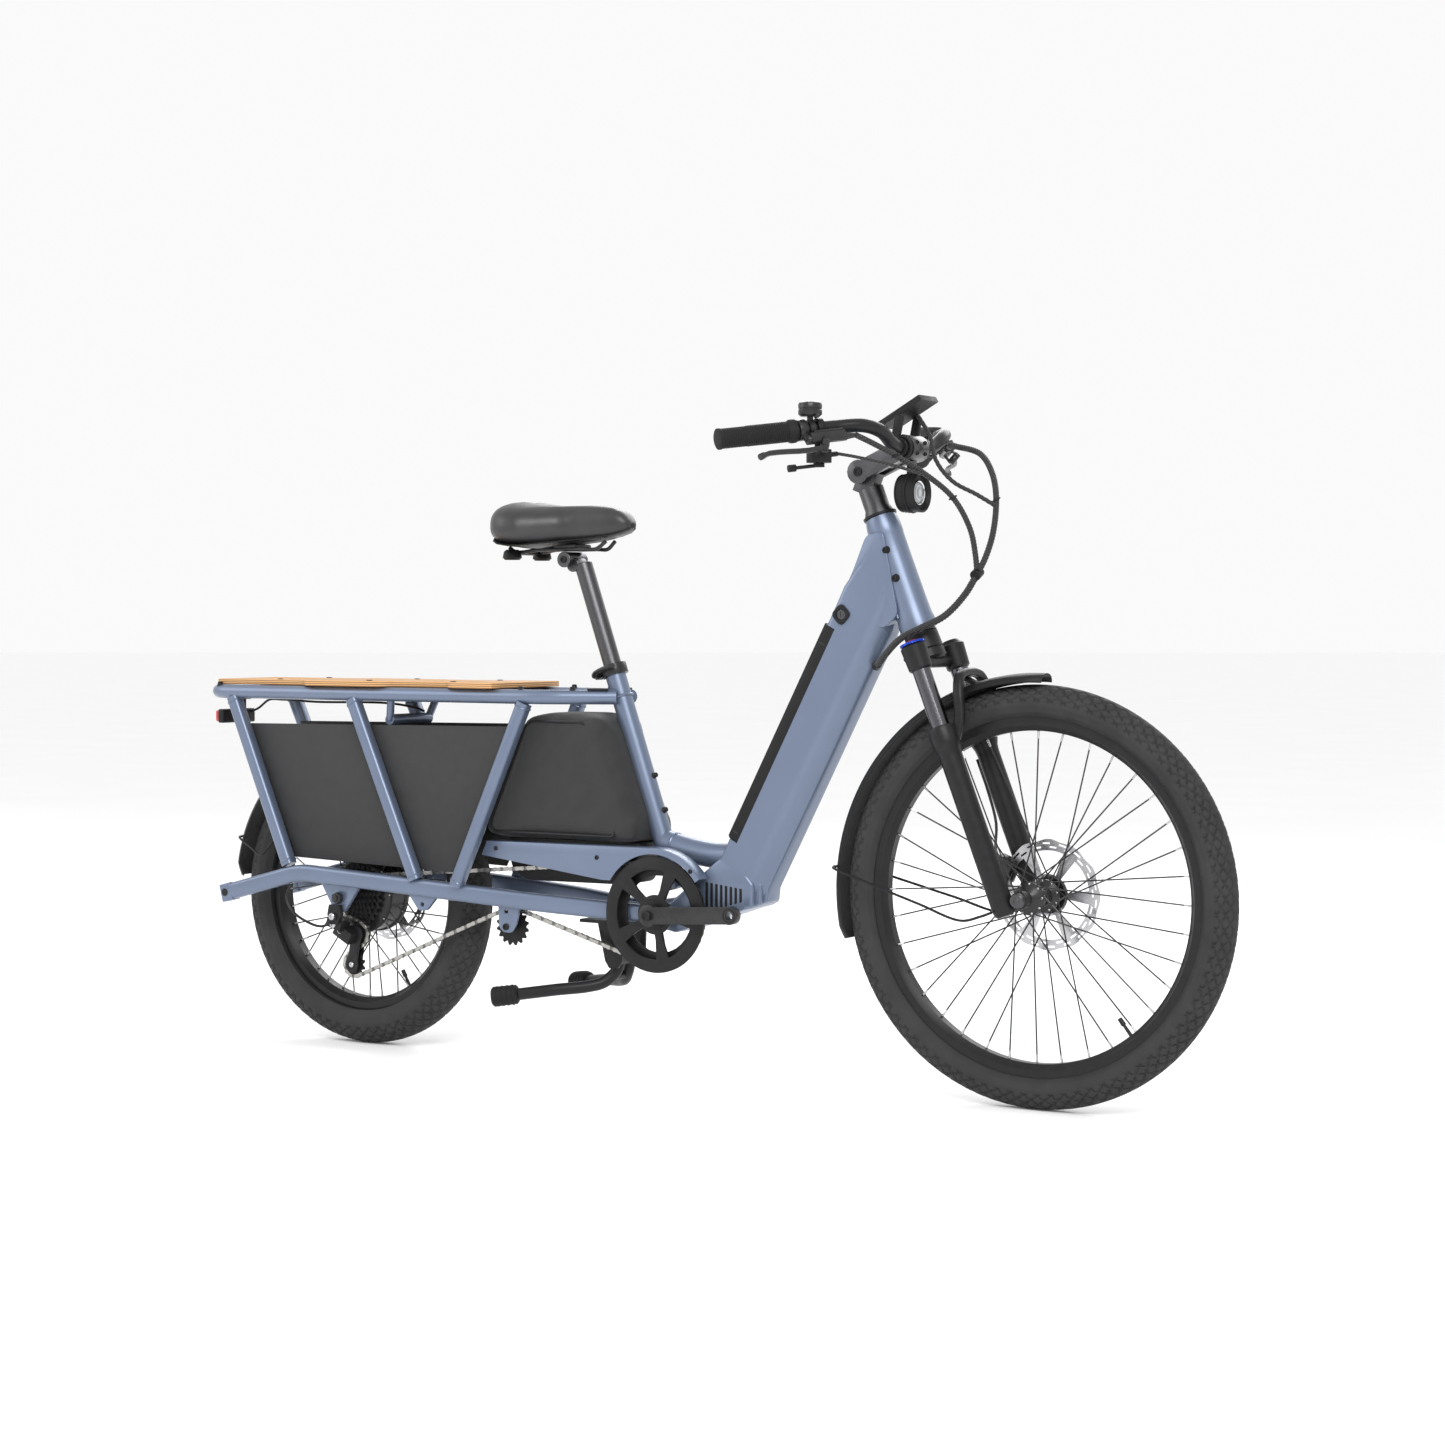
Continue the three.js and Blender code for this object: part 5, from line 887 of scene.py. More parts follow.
def drivetrain():
    chain()
    b = Build()
    sprocket(b, CRANK, 44, CHAIN_Y, 66)
    mid = (CRANK.x, CRANK.z)
    holes = []
    for i in range(5):
        a = 2 * math.pi * i / 5 - 0.1
        holes.append(window(mid, 34, 77, a + 0.17, a + 2 * math.pi / 5 - 0.17, 12))
    holes.append(circle(mid, 14.5, 30))
    b.plate(circle(mid, 99.5, 120), holes, CHAIN_Y - 16, CHAIN_Y - 11, bevel=1.2)
    for i in range(5):
        a = 2 * math.pi * i / 5 - 0.1
        arm = Vector((math.cos(a), 0, math.sin(a)))
        root = CRANK + Vector((0, CHAIN_Y - 12, 0))
        b.sweep(box_section(7, 17, 3), [root + arm * 18, root + arm * 84])
        b.bolt(root + arm * 86 + Y * 1, -Y, 5, 2.4)
        b.rod(CRANK + arm * 74 + Vector((0, CHAIN_Y - 11, 0)),
              CRANK + arm * 74 + Vector((0, CHAIN_Y + 2, 0)), 6)
    b.lathe([(14.5, CHAIN_Y - 17), (25, CHAIN_Y - 17), (27, CHAIN_Y - 14), (27, CHAIN_Y - 7),
             (14.5, CHAIN_Y - 6),
             (14.5, CHAIN_Y - 17)], CRANK, Y, 40)
    b.piece("chainring_guarded", [BLACK, GUNMETAL], "crank", ["chainring"], "alloy_black")
    for name in ("crank_right", "crank_left"):
        dress(name, BLACK_GLOSS, 2.2)
    caps = Build()
    for side in (RIGHT, LEFT):
        caps.bolt((CRANK.x, side * 94.4, CRANK.z), (0, side, 0), 9, 2.4)
        caps.ring((CRANK.x - side * 170, side * 101.6, CRANK.z - side * 10.5), Y, 11, 1.4, 30)
    caps.piece("crank_bolts", BLACK, "crank", slot="black_metal")

    stack = Build()
    for i, count in enumerate((28, 24, 21, 18, 16, 14, 12)):
        sprocket(stack, REAR_AXLE, count, CHAIN_Y + (3 - i) * 4.7, 14.5 if count > 14 else 12,
                 6 if count > 20 else 0)
    stack.lathe([(7, -69), (15, -69), (17, -66), (17, -34), (7, -34), (7, -69)], REAR_AXLE, Y, 36)
    stack.piece("cassette_cogs", BLACK_GLOSS, "cassette_stack", ["cassette"], "black_metal")
    for name, body, centre, count in (("idler_wheel", "idler", IDLER, 16),
                                      ("tension_pulley", "tension", TENSION, 11),
                                      ("guide_pulley", "guide", GUIDE, 11)):
        wheel = Build()
        sprocket(wheel, centre, count, CHAIN_Y, 5 if count > 12 else 4, 0, thick=2.6)
        wheel.lathe([(5, -3.4), (9, -3.4), (9, 3.4), (5, 3.4), (5, -3.4)], centre + Y * CHAIN_Y, Y, 30)
        wheel.piece(name + "_toothed", PLASTIC, body, [name], "plastic")
    dress("derailleur", BLACK, 1.2)
    extra = Build()
    for at, r in ((TENSION, 5), (GUIDE, 5)):
        extra.bolt((at.x, CHAIN_Y - 8.6, at.z), -Y, r, 2.6)
    extra.bolt((-8, -93, 226), -Y, 6.5, 3)
    extra.bolt((-6, -99, 241), -Y, 6.5, 3)
    coil = [Vector((-2 + 6 * math.cos(t * 0.7), -84 + t * 0.55,
                    214 + 6 * math.sin(t * 0.7))) for t in range(40)]
    extra.tube(coil, 0.9, 6, 1)
    extra.piece("derailleur_hardware", STEEL, "frame", slot="steel")
    outer = Build().plate(cage_outline(), [circle((TENSION.x, TENSION.z), 9, 20)], CHAIN_Y - 9.2,
                          CHAIN_Y - 6.6, bevel=0.6)
    outer.piece("derailleur_cage", BLACK, "frame", slot="black_metal")


def cage_outline():
    """Cage plate that waists in between its two pulleys."""
    d = (GUIDE - TENSION).normalized()
    n = Vector((-d.z, 0, d.x))
    out = []
    for centre, start in ((GUIDE, -90), (TENSION, 90)):
        for i in range(13):
            a = math.radians(start + 180 * i / 12)
            p = centre + (d * math.cos(a) + n * math.sin(a)) * 15
            out.append((p.x, p.z))
        waist = (GUIDE + TENSION) / 2 + n * (9 if centre is GUIDE else -9)
        out.append((waist.x, waist.z))
    return out


# ---------------------------------------------------------------- frame
def beam_axis(z):
    return Vector((950.7 + (z - 580) * BEAM_SLOPE, 0, z))


BEAM_UP = (beam_axis(1) - beam_axis(0)).normalized()
BEAM_BELOW = Vector((BEAM_UP.z, 0, -BEAM_UP.x))


def rounded(points, radius, steps=4):
    """Rounds the corners of a closed outline."""
    out = []
    n = len(points)
    for i in range(n):
        p, a, b = Vector(points[i]), Vector(points[i - 1]), Vector(points[(i + 1) % n])
        cut = min(radius, (a - p).length * 0.45, (b - p).length * 0.45)
        start, end = p + (a - p).normalized() * cut, p + (b - p).normalized() * cut
        for k in range(steps + 1):
            t = k / steps
            q = start * (1 - t) ** 2 + p * 2 * t * (1 - t) + end * t * t
            out.append((q.x, q.y))
    return out


def main_beam():
    """Down tube, head-tube gusset, motor-side housing and the low step to the seat tube."""
    b = Build()
    section = rounded([(-40, -51), (40, -51), (40, 24), (18, 51), (-18, 51), (-40, 24)], 9)
    rows = [(334, 0.98, 0), (338, 1.0, 0), (780, 1.0, 0), (812, 0.97, -3), (842, 0.84, -6), (866, 0.7, -4)]
    verts, faces, n = [], [], len(section)
    for z, k, shift in rows:
        centre = beam_axis(z) + BEAM_BELOW * shift
        verts += [centre + Vector((0, u * k, 0)) + BEAM_BELOW * (v * k) for u, v in section]
    for i in range(len(rows) - 1):
        faces += [[i * n + j, i * n + (j + 1) % n, (i + 1) * n + (j + 1) % n,
                   (i + 1) * n + j] for j in range(n)]
    faces += [list(range(n))[::-1], [(len(rows) - 1) * n + j for j in range(n)]]
    b.add(verts, faces)
    b.prism(rounded([(1000, 784), (1030, 770), (1100, 768), (1124, 790), (1096, 926), (1064, 920),
                     (1040, 862)], 10),
            -31, 31, bevel=9)
    b.prism([(690, 300), (752, 350), (790, 380), (842, 352), (856, 337), (853, 298), (832, 292), (700, 247),
             (668, 253), (657, 279), (668, 300)], -42, 42, bevel=5)
    b.prism([(846, 354), (866, 336), (864, 303), (832, 292)], -32, 32, bevel=3)
    b.prism([(850, 352), (874, 333), (871, 307), (832, 292)], -22, 22, bevel=3)
    b.rod(CRANK - Y * 38, CRANK + Y * 38, 24.5, sides=56)
    b.tube([(656, 0, 397), (690, 0, 389), (716, 0, 384), (760, 0, 379), (814, 0, 381)], 22, 32, 6)
    b.lathe([(18, 473), (29, 473), (31, 475), (31, 487), (29.4, 498), (28.6, 520), (28, 600), (28, 637),
             (28.6, 640),
             (28.6, 655), (26, 671), (18, 671), (18, 473)], STEER_FOOT, STEER_UP, 72)
    shell = b.piece("main_beam", PAINT, "frame", ["main_frame"], "blue_paint", angle=30)
    carve_battery_bay(shell)
    return shell


def beam_block(z0, z1, back, front, half):
    """Block set in the down tube's own directions."""
    low, high = beam_axis(z0), beam_axis(z1)
    centre = (low + high) / 2 + BEAM_BELOW * ((back + front) / 2)
    lean = Quaternion(Y, math.atan(BEAM_SLOPE))
    return Build().block((front - back, 2 * half, (high - low).length), centre, turn=lean, bevel=0)


def carve_battery_bay(shell):
    """Opens the beam's rear face for the battery and its full-width cover."""
    for cutter in (beam_block(399, 746, -95, 12, 30.2), beam_block(390.4, 750.6, -95, -32.5, 60)):
        tool = cutter.piece("bay_tool", PAINT, "frame", hold=True)
        cut = shell.modifiers.new("bay", "BOOLEAN")
        cut.object = tool
        cut.operation = "DIFFERENCE"
        cut.solver = "EXACT"
        cut.use_self = True
        bpy.context.view_layer.update()
        carved = bpy.data.meshes.new_from_object(shell.evaluated_get(bpy.context.evaluated_depsgraph_get()))
        shell.modifiers.clear()
        shell.data = carved
        bpy.data.objects.remove(tool)
    carved.polygons.foreach_set("use_smooth", [True] * len(carved.polygons))
    carved.set_sharp_from_angle(angle=math.radians(30))


def main_details():
    b = Build()
    for side in (LEFT, RIGHT):
        face = side * 42.3
        for i in range(8):
            x = 762 + i * 9.6
            top, low = 338 - 0.12 * (x - 762), 278 + 0.29 * (x - 735)
            b.prism(rounded([(x, low), (x + 5, low + 1.5), (x + 5, top - 1), (x, top)], 1.5, 2),
                    min(face - side * 2, face), max(face - side * 2, face))
        b.prism(rounded([(752, 346), (842, 335), (838, 294), (752, 276)], 4),
                *sorted((side * 41, side * 42.1)), slot=1)
    b.piece("motor_vents", [PLASTIC, PAINT], "frame", slot="plastic")

    bolts = Build()
    for h in (563, 612):
        bolts.rod(on_fork(h, 4, -26), on_fork(h, 4, -31), 7, 6)
        bolts.bolt(on_fork(h, 4, -31), -Y, 4.6, 3)
        bolts.bolt(on_fork(h, 4, 28), Y, 4.6, 3)
    for z in (506, 447):
        ahead = Vector((1, 0, SEAT_SLOPE)).normalized()
        bolts.rod(on_seat_tube(z) + ahead * 16, on_seat_tube(z) + ahead * 21, 6, 5)
        bolts.bolt(on_seat_tube(z) + ahead * 21, ahead, 4.4, 3.5)
    bolts.rod((1081, -24, 706), (1088, -32, 710), 8.5, 7.5)
    bolts.piece("frame_bolts", BLACK, "frame", slot="black_metal")

    lock = Build()
    lock.plate(rounded([(1024, 770), (1043, 790), (1024, 810), (1005, 790)], 9),
               [circle((1024, 790), 8.8, 30)],
               -43, -39.8, bevel=0.7)
    lock.piece("lock_bezel", PLASTIC, "frame", slot="plastic")

    weld = Build()
    weld.ring((674, 0, 392.6), (1, 0, -0.2), 21.6, 2.0, 48, wobble=0.25)
    for f in (-1, 1):
        run = [on_fork(500 + i * 4, -16, f * 26.5) for i in range(38)]
        weld.tube(run, 2.0, 6, 1, scale=lambda t: 1 + 0.2 * math.sin(240 * t))
    weld.piece("frame_welds", PAINT, "frame", slot="blue_paint")


def seat_tube():
    b = Build()
    up = (on_seat_tube(1) - on_seat_tube(0)).normalized()
    foot = on_seat_tube(320)
    length = (on_seat_tube(697) - foot).length
    b.lathe([(0, 0), (18, 0), (18, length - 1), (17, length), (16.4, length), (16.4, 60), (0, 60)], foot,
            up, 48)
    b.piece("seat_tube_round", PAINT, "frame", ["seat_tube"], "blue_paint")
    dress("seat_clamp", BLACK_GLOSS, 1.2)
    dress("seat_clamp_lever", BLACK_GLOSS, 1.2)


def rack():
    w = RACK_HALF
    inner = RACK_REAR_X + RACK_CORNER
    half = [Vector((on_seat_tube(RACK_Z).x + 4, w - 62, RACK_Z))]
    half += quarter((RACK_BEND_X + 46, w - 18, RACK_Z), (RACK_BEND_X + 14, w, RACK_Z),
                    (RACK_BEND_X - 30, w, RACK_Z), 12)
    half += quarter((inner, w, RACK_Z), (RACK_REAR_X, w, RACK_Z), (RACK_REAR_X, w - RACK_CORNER, RACK_Z),
                    14)
    b = Build()
    b.tube(half + flip(half)[::-1], 12.7, 28, 0)
    for x in (-210, 130, 400):
        b.rod((x, -w, RACK_Z - 3), (x, w, RACK_Z - 3), 8)
    b.rod((96, -58, 600), (96, 58, 600), 10)
    for side in (LEFT, RIGHT):
        b.rod((96, side * 56, 600), (110, side * 70, RACK_Z), 7)
    b.ring(on_seat_tube(RACK_Z), (-SEAT_SLOPE, 0, 1), 19, 2.2, 44, wobble=0.25)
    b.piece("rack_tubes", PAINT, "frame", ["rack_loop"], "blue_paint")

    bolts = Build()
    for side in (LEFT, RIGHT):
        for x, inset in ((406, 2), (500, 25), (-285, 0)):
            y = side * (RACK_HALF - inset)
            bolts.rod((x, y, RACK_Z + 9), (x, y, RACK_Z + 15), 6, 5)
            bolts.bolt((x, y, RACK_Z + 15), (0, 0, 1), 4.4, 3)
        bolts.block((36, 17, 4), (540, side * (RACK_HALF - 45), RACK_Z + 13.4),
                    turn=Quaternion((0, 0, 1), -side * 0.47))
        for x in (-150, 60, 250):
            bolts.rod((x, side * 74, RACK_Z + 4), (x, side * 74, 660), 7, 7)
            bolts.bolt((x, side * 70, 670.4), (0, 0, 1), 5.5, 1.4)
    bolts.piece("rack_bolts", BLACK, "frame", slot="black_metal")
    dress("deck_board", DECK, 1.0)


RAIL = [(-262, 95, 271), (-84, 95, 318), (290, 84, 297), (440, 70, 287), (566, 38, 278), (650, 32, 275)]
STRUTS = [((-250, 631), (-108, 322)), ((34, 631), (187, 308)), ((416, 631), (270, 303))]


def side_frame(side):
    b = Build()
    rail = [Vector((x, side * y, z)) for x, y, z in RAIL]
    path = [rail[0]]
    for i in range(1, len(rail) - 1):
        a, p, c = rail[i - 1], rail[i], rail[i + 1]
        path += quarter(p + (a - p).normalized() * 26, p, p + (c - p).normalized() * 26, 6)
    path.append(rail[-1])
    b.sweep(box_section(22, 31, 7), path)
    b.block((26, 23, 33), (-255, side * 95, 273), turn=Quaternion(Y, -0.26), bevel=2)
    for (tx, tz), (fx, fz) in STRUTS:
        top, foot = Vector((tx, side * side_y(tz), tz + 6)), Vector((fx, side * (side_y(fz) - 2), fz))
        along = (top - foot).normalized()
        b.sweep(box_section(24.6, 24.6, 8), [foot + along * 9, top])
        b.bead(top - along * 9, along, 24.4, 24.4)
        b.bead(foot + along * 17, along, 24.4, 24.4)
    y0, y1 = sorted((side * 76, side * 86))
    axle = [circle((0, REAR_R), 6.6, 20)]
    b.plate(rounded([(-50, 312), (52, 306), (14, 252), (6, 247), (-8, 247), (-14, 254)], 5), axle, y0, y1,
            bevel=0.8)
    y0, y1 = sorted((side * 82, side * 90))
    b.plate(rounded([(158, 296), (230, 292), (203, 262), (185, 262)], 5), [circle((194, 273), 4, 16)], y0,
            y1, bevel=0.8)
    if side == RIGHT:
        b.plate(rounded([(348, 292), (398, 290), (388, 246), (378, 231), (360, 231), (350, 240)], 6),
                [circle((366, 268), 4, 14)], -72, -67, bevel=0.8)
        b.block((42, 10, 12), (373, -71, 286), bevel=1)
        b.rod((IDLER.x, -70, IDLER.z), (IDLER.x, -44, IDLER.z), 4.8)
    name = "right" if side == RIGHT else "left"
    b.piece("side_rails_" + name, PAINT, "frame", ["side_frame_" + name], "blue_paint", angle=34)
    ends = Build()
    ends.lathe([(0, -0.5), (7, -0.5), (7, 0.4), (0, 0.4)], (-257, side * 107, 273), Y, 24)
    ends.bolt((366, side * 72.6, 241) if side == RIGHT else (40, 87, 296), (0, side, 0), 6, 3)
    ends.piece("rail_bolts_" + name, BLACK, "frame", slot="black_metal")


def chain_guard():
    b = Build()
    mid = CRANK

    def arc(r, a0, a1, n):
        turns = [math.radians(a0 + (a1 - a0) * i / n) for i in range(n + 1)]
        return [(mid.x + r * math.cos(a), mid.z + r * math.sin(a)) for a in turns]

    face = [(313, 366), (325, 391), (mid.x - 8, 393)] + arc(114, 94, 35, 20) + arc(103.5, 35, 148, 30)
    face += [(mid.x - 106, 334)]
    b.plate(face, [], -73, -70, bevel=0.7)
    top = [(321, 388), (325, 391.4), (mid.x - 8, 393.4)] + arc(114.4, 94, 35, 20) + arc(111, 35, 94,
                                                                                        20) + [(325, 388)]
    b.plate(top, [], -72, -44.5, bevel=0.7)
    b.block((18, 23, 4), (653, -34.5, 390.6), bevel=0.6)
    b.piece("chain_guard_cover", PAINT, "frame", ["chain_guard"], "blue_paint")
    screws = Build()
    for x, z in ((345, 379), (560, 372), (mid.x + 76, mid.z + 78)):
        screws.bolt((x, -73, z), -Y, 4, 2)
    screws.piece("guard_bolts", BLACK, "frame", slot="black_metal")


def fender(b, centre, crown, half, a0, a1, steps=60):
    """Curved strip round a wheel, rolled under at its edges and rounded at its ends."""
    across = [(-1, -13), (-0.97, -11), (-0.86, -5.6), (-0.6, -2.4), (-0.3, -0.6), (0, 0),
              (0.3, -0.6), (0.6, -2.4), (0.86, -5.6), (0.97, -11), (1, -13)]
    verts, faces = [], []
    for i in range(steps + 1):
        share = i / steps
        a = math.radians(a0 + (a1 - a0) * share)
        tail = min(share, 1 - share) * steps
        width = half * math.sqrt(min(1, (tail + 1.2) / 3.2))
        for shift in (0, -2.4):
            row = across if shift == 0 else across[::-1]
            for u, v in row:
                r = crown + v + shift
                verts.append(centre + Vector((r * math.cos(a), u * width * (1 if shift == 0 else 0.96),
                                              r * math.sin(a))))
    n = 2 * len(across)
    for i in range(steps):
        faces += [[i * n + j, i * n + (j + 1) % n, (i + 1) * n + (j + 1) % n,
                   (i + 1) * n + j] for j in range(n)]
    faces += [list(range(n))[::-1], [steps * n + j for j in range(n)]]
    b.add(verts, faces)


def fenders():
    rear = Build()
    fender(rear, REAR_AXLE, 297, 41, 22, 175.5)
    for side in (LEFT, RIGHT):
        rear.tube([(-279, side * 30, 372), (-276, side * 43, 371), (-240, side * 56, 356),
                   (-203, side * 66, 343),
                   (-176, side * 72, 362), (-150, side * 77, 384)], 2.2, 10)
    rear.rod((-280.2, -31, 372), (-280.2, 31, 372), 2.4, sides=10)
    rear.block((16, 40, 14), (96, 0, 564), bevel=1.5)
    rear.rod((96, 0, 552), (96, 0, 589.2), 5)
    rear.bolt((-283, 0, 372), (-1, 0, 0.1), 5, 2)
    rear.piece("rear_fender_strip", PLASTIC, "frame", ["rear_fender"], "plastic")

    front = Build()
    fender(front, FRONT_AXLE, 358, 33, 87.5, 194)
    for side in (LEFT, RIGHT):
        front.tube([(1008, side * 28, 374), (1008, side * 38, 373), (1060, side * 48, 358),
                    (1180, side * 64, 325),
                    (1262, side * 74, 303), (1300, side * 80, 312), (1322, side * 84, 320)], 2.2, 10)
    front.rod((1004.6, -30, 374), (1004.6, 30, 374), 2.4, sides=10)
    front.block((26, 15, 7), on_fork(362.5, LEG_AHEAD + 46), turn=Quaternion(Y, math.pi / 2 - HEAD_ANGLE),
                bevel=1)
    front.piece("front_fender_strip", PLASTIC, "lowers", ["front_fender"], "plastic")


def panels():
    for side in ("right", "left"):
        dress("side_panel_" + side, PANEL, 1.0)
    for name, made, slot in (("battery_pack", PLASTIC, "plastic"), ("key_lock", GUNMETAL, "steel"),
                             ("rear_axle", BLACK_GLOSS, "black_metal"),
                             ("rear_caliper", BLACK_GLOSS, "alloy_black"),
                             ("kickstand_bracket", BLACK, "black_metal"),
                             ("front_caliper", BLACK_GLOSS, "alloy_black")):
        dress(name, made, 1.0)
    b = Build()
    b.block((15, 90, 26), (-319.5, 0, 598.5), bevel=3)
    b.block((9, 84, 21), (-330.6, 0, 598.5), slot=1, bevel=2.5)
    b.block((6, 30, 30), (-311, 0, 618), bevel=1)
    b.block((22, 30, 4), (-307, 0, RACK_Z - 15.4), bevel=1)
    b.tube([(-316, 34, 604), (-296, 36, 612), (-268, 34, 628), (-232, 32, 629), (-150, 34, 626),
            (20, 38, 626),
            (80, 42, 618), (96, 44, 612.6)], 2.2, 10)
    b.piece("tail_lamp", [PLASTIC, RED_LENS], "frame", ["tail_light"], "lens")
    lean = Quaternion(Y, math.atan(BEAM_SLOPE))
    trim = Build()
    trim.block((12, 79.6, 3), beam_axis(722) - BEAM_BELOW * 43, turn=lean, bevel=0.6)
    trim.block((10, 79.6, 3), beam_axis(404) - BEAM_BELOW * 43, turn=lean, bevel=0.6)
    trim.piece("battery_seams", BLACK_GLOSS, "battery", slot="plastic")


# ---------------------------------------------------------------- stand
def stand():
    b = Build()
    pivot = Vector((570, 0, 193))
    b.lathe([(5.6, -32), (12.5, -32), (12.5, 32), (5.6, 32), (5.6, -32)], pivot, Y, 32)
    for side in (LEFT, RIGHT):
        b.tube([(570, side * 17, 193), (564, side * 19, 171), (548, side * 33, 152), (528, side * 50, 145),
                (480, side * 80, 139), (420, side * 107, 130)], 10.6, 20)
        start, end = Vector((418, side * 108, 130)), Vector((376, side * 126, 124))
        b.rod(start, end, 17, 17.6, 32, slot=1, round_edge=3)
        for i in range(4):
            b.ring(start.lerp(end, 0.2 + 0.2 * i), end - start, 17.0, 1.3, 32, slot=1)
    b.rod((556, -30, 160), (556, 30, 160), 7)
    b.piece("stand_legs", [BLACK, GRIP], "stand", ["kickstand_legs"], "alloy_black")


# ---------------------------------------------------------------- seat
def seat():
    b = Build()
    b.rod(on_seat_tube(496), on_seat_tube(878), 15.8, sides=48)
    head = on_seat_tube(886) - Vector((20, 0, 0))
    b.rod(head - Y * 28, head + Y * 28, 13.6, sides=40)
    b.rod(head + Vector((10, -15, -9)), head + Vector((10, 15, -9)), 12.4, sides=36)
    for y in (-1, 1):
        b.bolt(head + Y * 28 * y, Y * y, 6, 3, 1)
    b.piece("seatpost_round", [GUNMETAL, BLACK], "post", ["seatpost"], "dark_metal")

    rail_z = 904
    r = Build()
    for side in (LEFT, RIGHT):
        r.tube([(352, side * 40, 908), (364, side * 36, 900), (408, side * 24, rail_z),
                (462, side * 21, rail_z),
                (500, side * 21, rail_z), (522, side * 18, 904), (540, side * 14, 917)], 3.5, 14)
        r.rod((362, side * 45, 886), (362, side * 45, 904), 17, 15, 28, slot=1, round_edge=4)
    r.rod((362, -45, 898), (362, 45, 898), 3.5)
    r.block((44, 52, 6), head + Vector((0, 0, 23.6)), bevel=1.6)
    base = saddle_rows(0.93, shell=True)
    r.add(*base, 1)
    r.piece("saddle_underside", [BLACK_GLOSS, PLASTIC], "seat", ["saddle_rails"], "black_metal")
    pad(saddle_mesh(), "saddle_cover", SKIN, "seat", "saddle", pressure=1.2, cap=0.004)


SADDLE_X = [318, 324, 336, 354, 378, 404, 430, 458, 488, 520, 550, 572, 584, 588]
SADDLE_W = [26, 52, 76, 92, 100, 97, 78, 54, 40, 33, 29, 25, 18, 9]
SADDLE_TOP = [952, 970, 982, 987, 986, 981, 977.5, 977, 978, 979, 978, 970, 958, 950]
SADDLE_LOW = [936, 924, 916, 911, 908, 908, 911, 914, 917, 920, 924, 930, 936, 941]


def saddle_rows(shrink=1.0, shell=False):
    """Closed loft of cross-sections from the wide rear to the nose."""
    count = 36
    verts, faces = [], []
    for i, (x, w, top, low) in enumerate(zip(SADDLE_X, SADDLE_W, SADDLE_TOP, SADDLE_LOW)):
        if shell:
            top = low + 7
            w = w * shrink - 3
        mid = low + (top - low) * 0.42
        for j in range(count):
            a = 2 * math.pi * j / count
            c, s = math.cos(a), math.sin(a)
            y = w * math.copysign(abs(c) ** 0.72, c)
            z = mid + ((top - mid) if s > 0 else (mid - low)) * math.copysign(abs(s) ** 0.78, s)
            if s > 0 and not shell:
                z -= 3.0 * math.exp(-(y / 10) ** 2)
            verts.append(Vector((x, y, z)))
    rows = len(SADDLE_X)
    for i in range(rows - 1):
        for j in range(count):
            k = (j + 1) % count
            faces.append([i * count + j, (i + 1) * count + j, (i + 1) * count + k, i * count + k])
    faces.append(list(range(count)))
    faces.append([(rows - 1) * count + j for j in range(count)][::-1])
    return verts, faces


def saddle_mesh():
    verts, faces = saddle_rows()
    return Build().add(verts, faces)


def pad(build, name, made, body, node, pressure, cap, voxel=0.005):
    """Soft closed piece: evenly remeshed, blown up a little as cloth, then smoothed."""
    piece = build.piece(name, made, body, hold=True)
    bpy.context.view_layer.objects.active = piece
    remesh = piece.modifiers.new("remesh", "REMESH")
    remesh.mode = "VOXEL"
    remesh.voxel_size = voxel
    remesh.use_smooth_shade = True
    apply_all(piece)
    rest = [v.co.copy() for v in piece.data.vertices]
    cloth = piece.modifiers.new("cloth", "CLOTH")
    cloth.settings.use_pressure = True
    cloth.settings.uniform_pressure_force = pressure
    cloth.settings.effector_weights.gravity = 0
    cloth.settings.tension_stiffness = 30
    cloth.settings.compression_stiffness = 30
    cloth.settings.shrink_min = -0.012
    cloth.point_cache.frame_start = 1
    cloth.point_cache.frame_end = 20
    scene = bpy.context.scene
    for step in range(1, 21):
        scene.frame_set(step)
        bpy.context.view_layer.update()
    apply_all(piece)
    scene.frame_set(1)
    for v, was in zip(piece.data.vertices, rest):
        moved = v.co - was
        if moved.length > cap:
            v.co = was + moved.normalized() * cap
    soften = piece.modifiers.new("soften", "CORRECTIVE_SMOOTH")
    soften.iterations = 6
    soften.use_only_smooth = True
    finer = piece.modifiers.new("finer", "SUBSURF")
    finer.levels = 1
    finer.render_levels = 1
    apply_all(piece)
    piece.data.polygons.foreach_set("use_smooth", [True] * len(piece.data.polygons))
    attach(piece, body)
    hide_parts(node)
    return piece


def apply_all(piece):
    bpy.context.view_layer.update()
    mesh = bpy.data.meshes.new_from_object(piece.evaluated_get(bpy.context.evaluated_depsgraph_get()))
    piece.modifiers.clear()
    piece.data = mesh


def bag():
    b = Build()
    outline = rounded([(306, 402), (397, 603), (412, 614), (552, 614), (566, 604), (632, 424), (628, 400)],
                      30, 6)
    b.prism(outline, -60, 60, bevel=14)
    pad(b, "storage_bag_body", CLOTH, "frame", "storage_bag", pressure=1.5, cap=0.005)
    trim = Build()
    inset = rounded([(318, 408), (402, 597), (416, 604), (520, 604), (534, 594), (592, 424), (588, 408)],
                    30, 8)
    for y in (-62, 62):
        loop = [Vector((x, y, z)) for x, z in inset]
        trim.sweep(round_section(2.4, 8), loop + loop[:2])
    trim.prism(rounded([(346, 398), (630, 398), (606, 324), (384, 322), (354, 342)], 14), -39.5, 39.5,
               slot=1, bevel=6)
    trim.piece("bag_piping_and_tray", [BLACK, PLASTIC], "frame", slot="plastic")


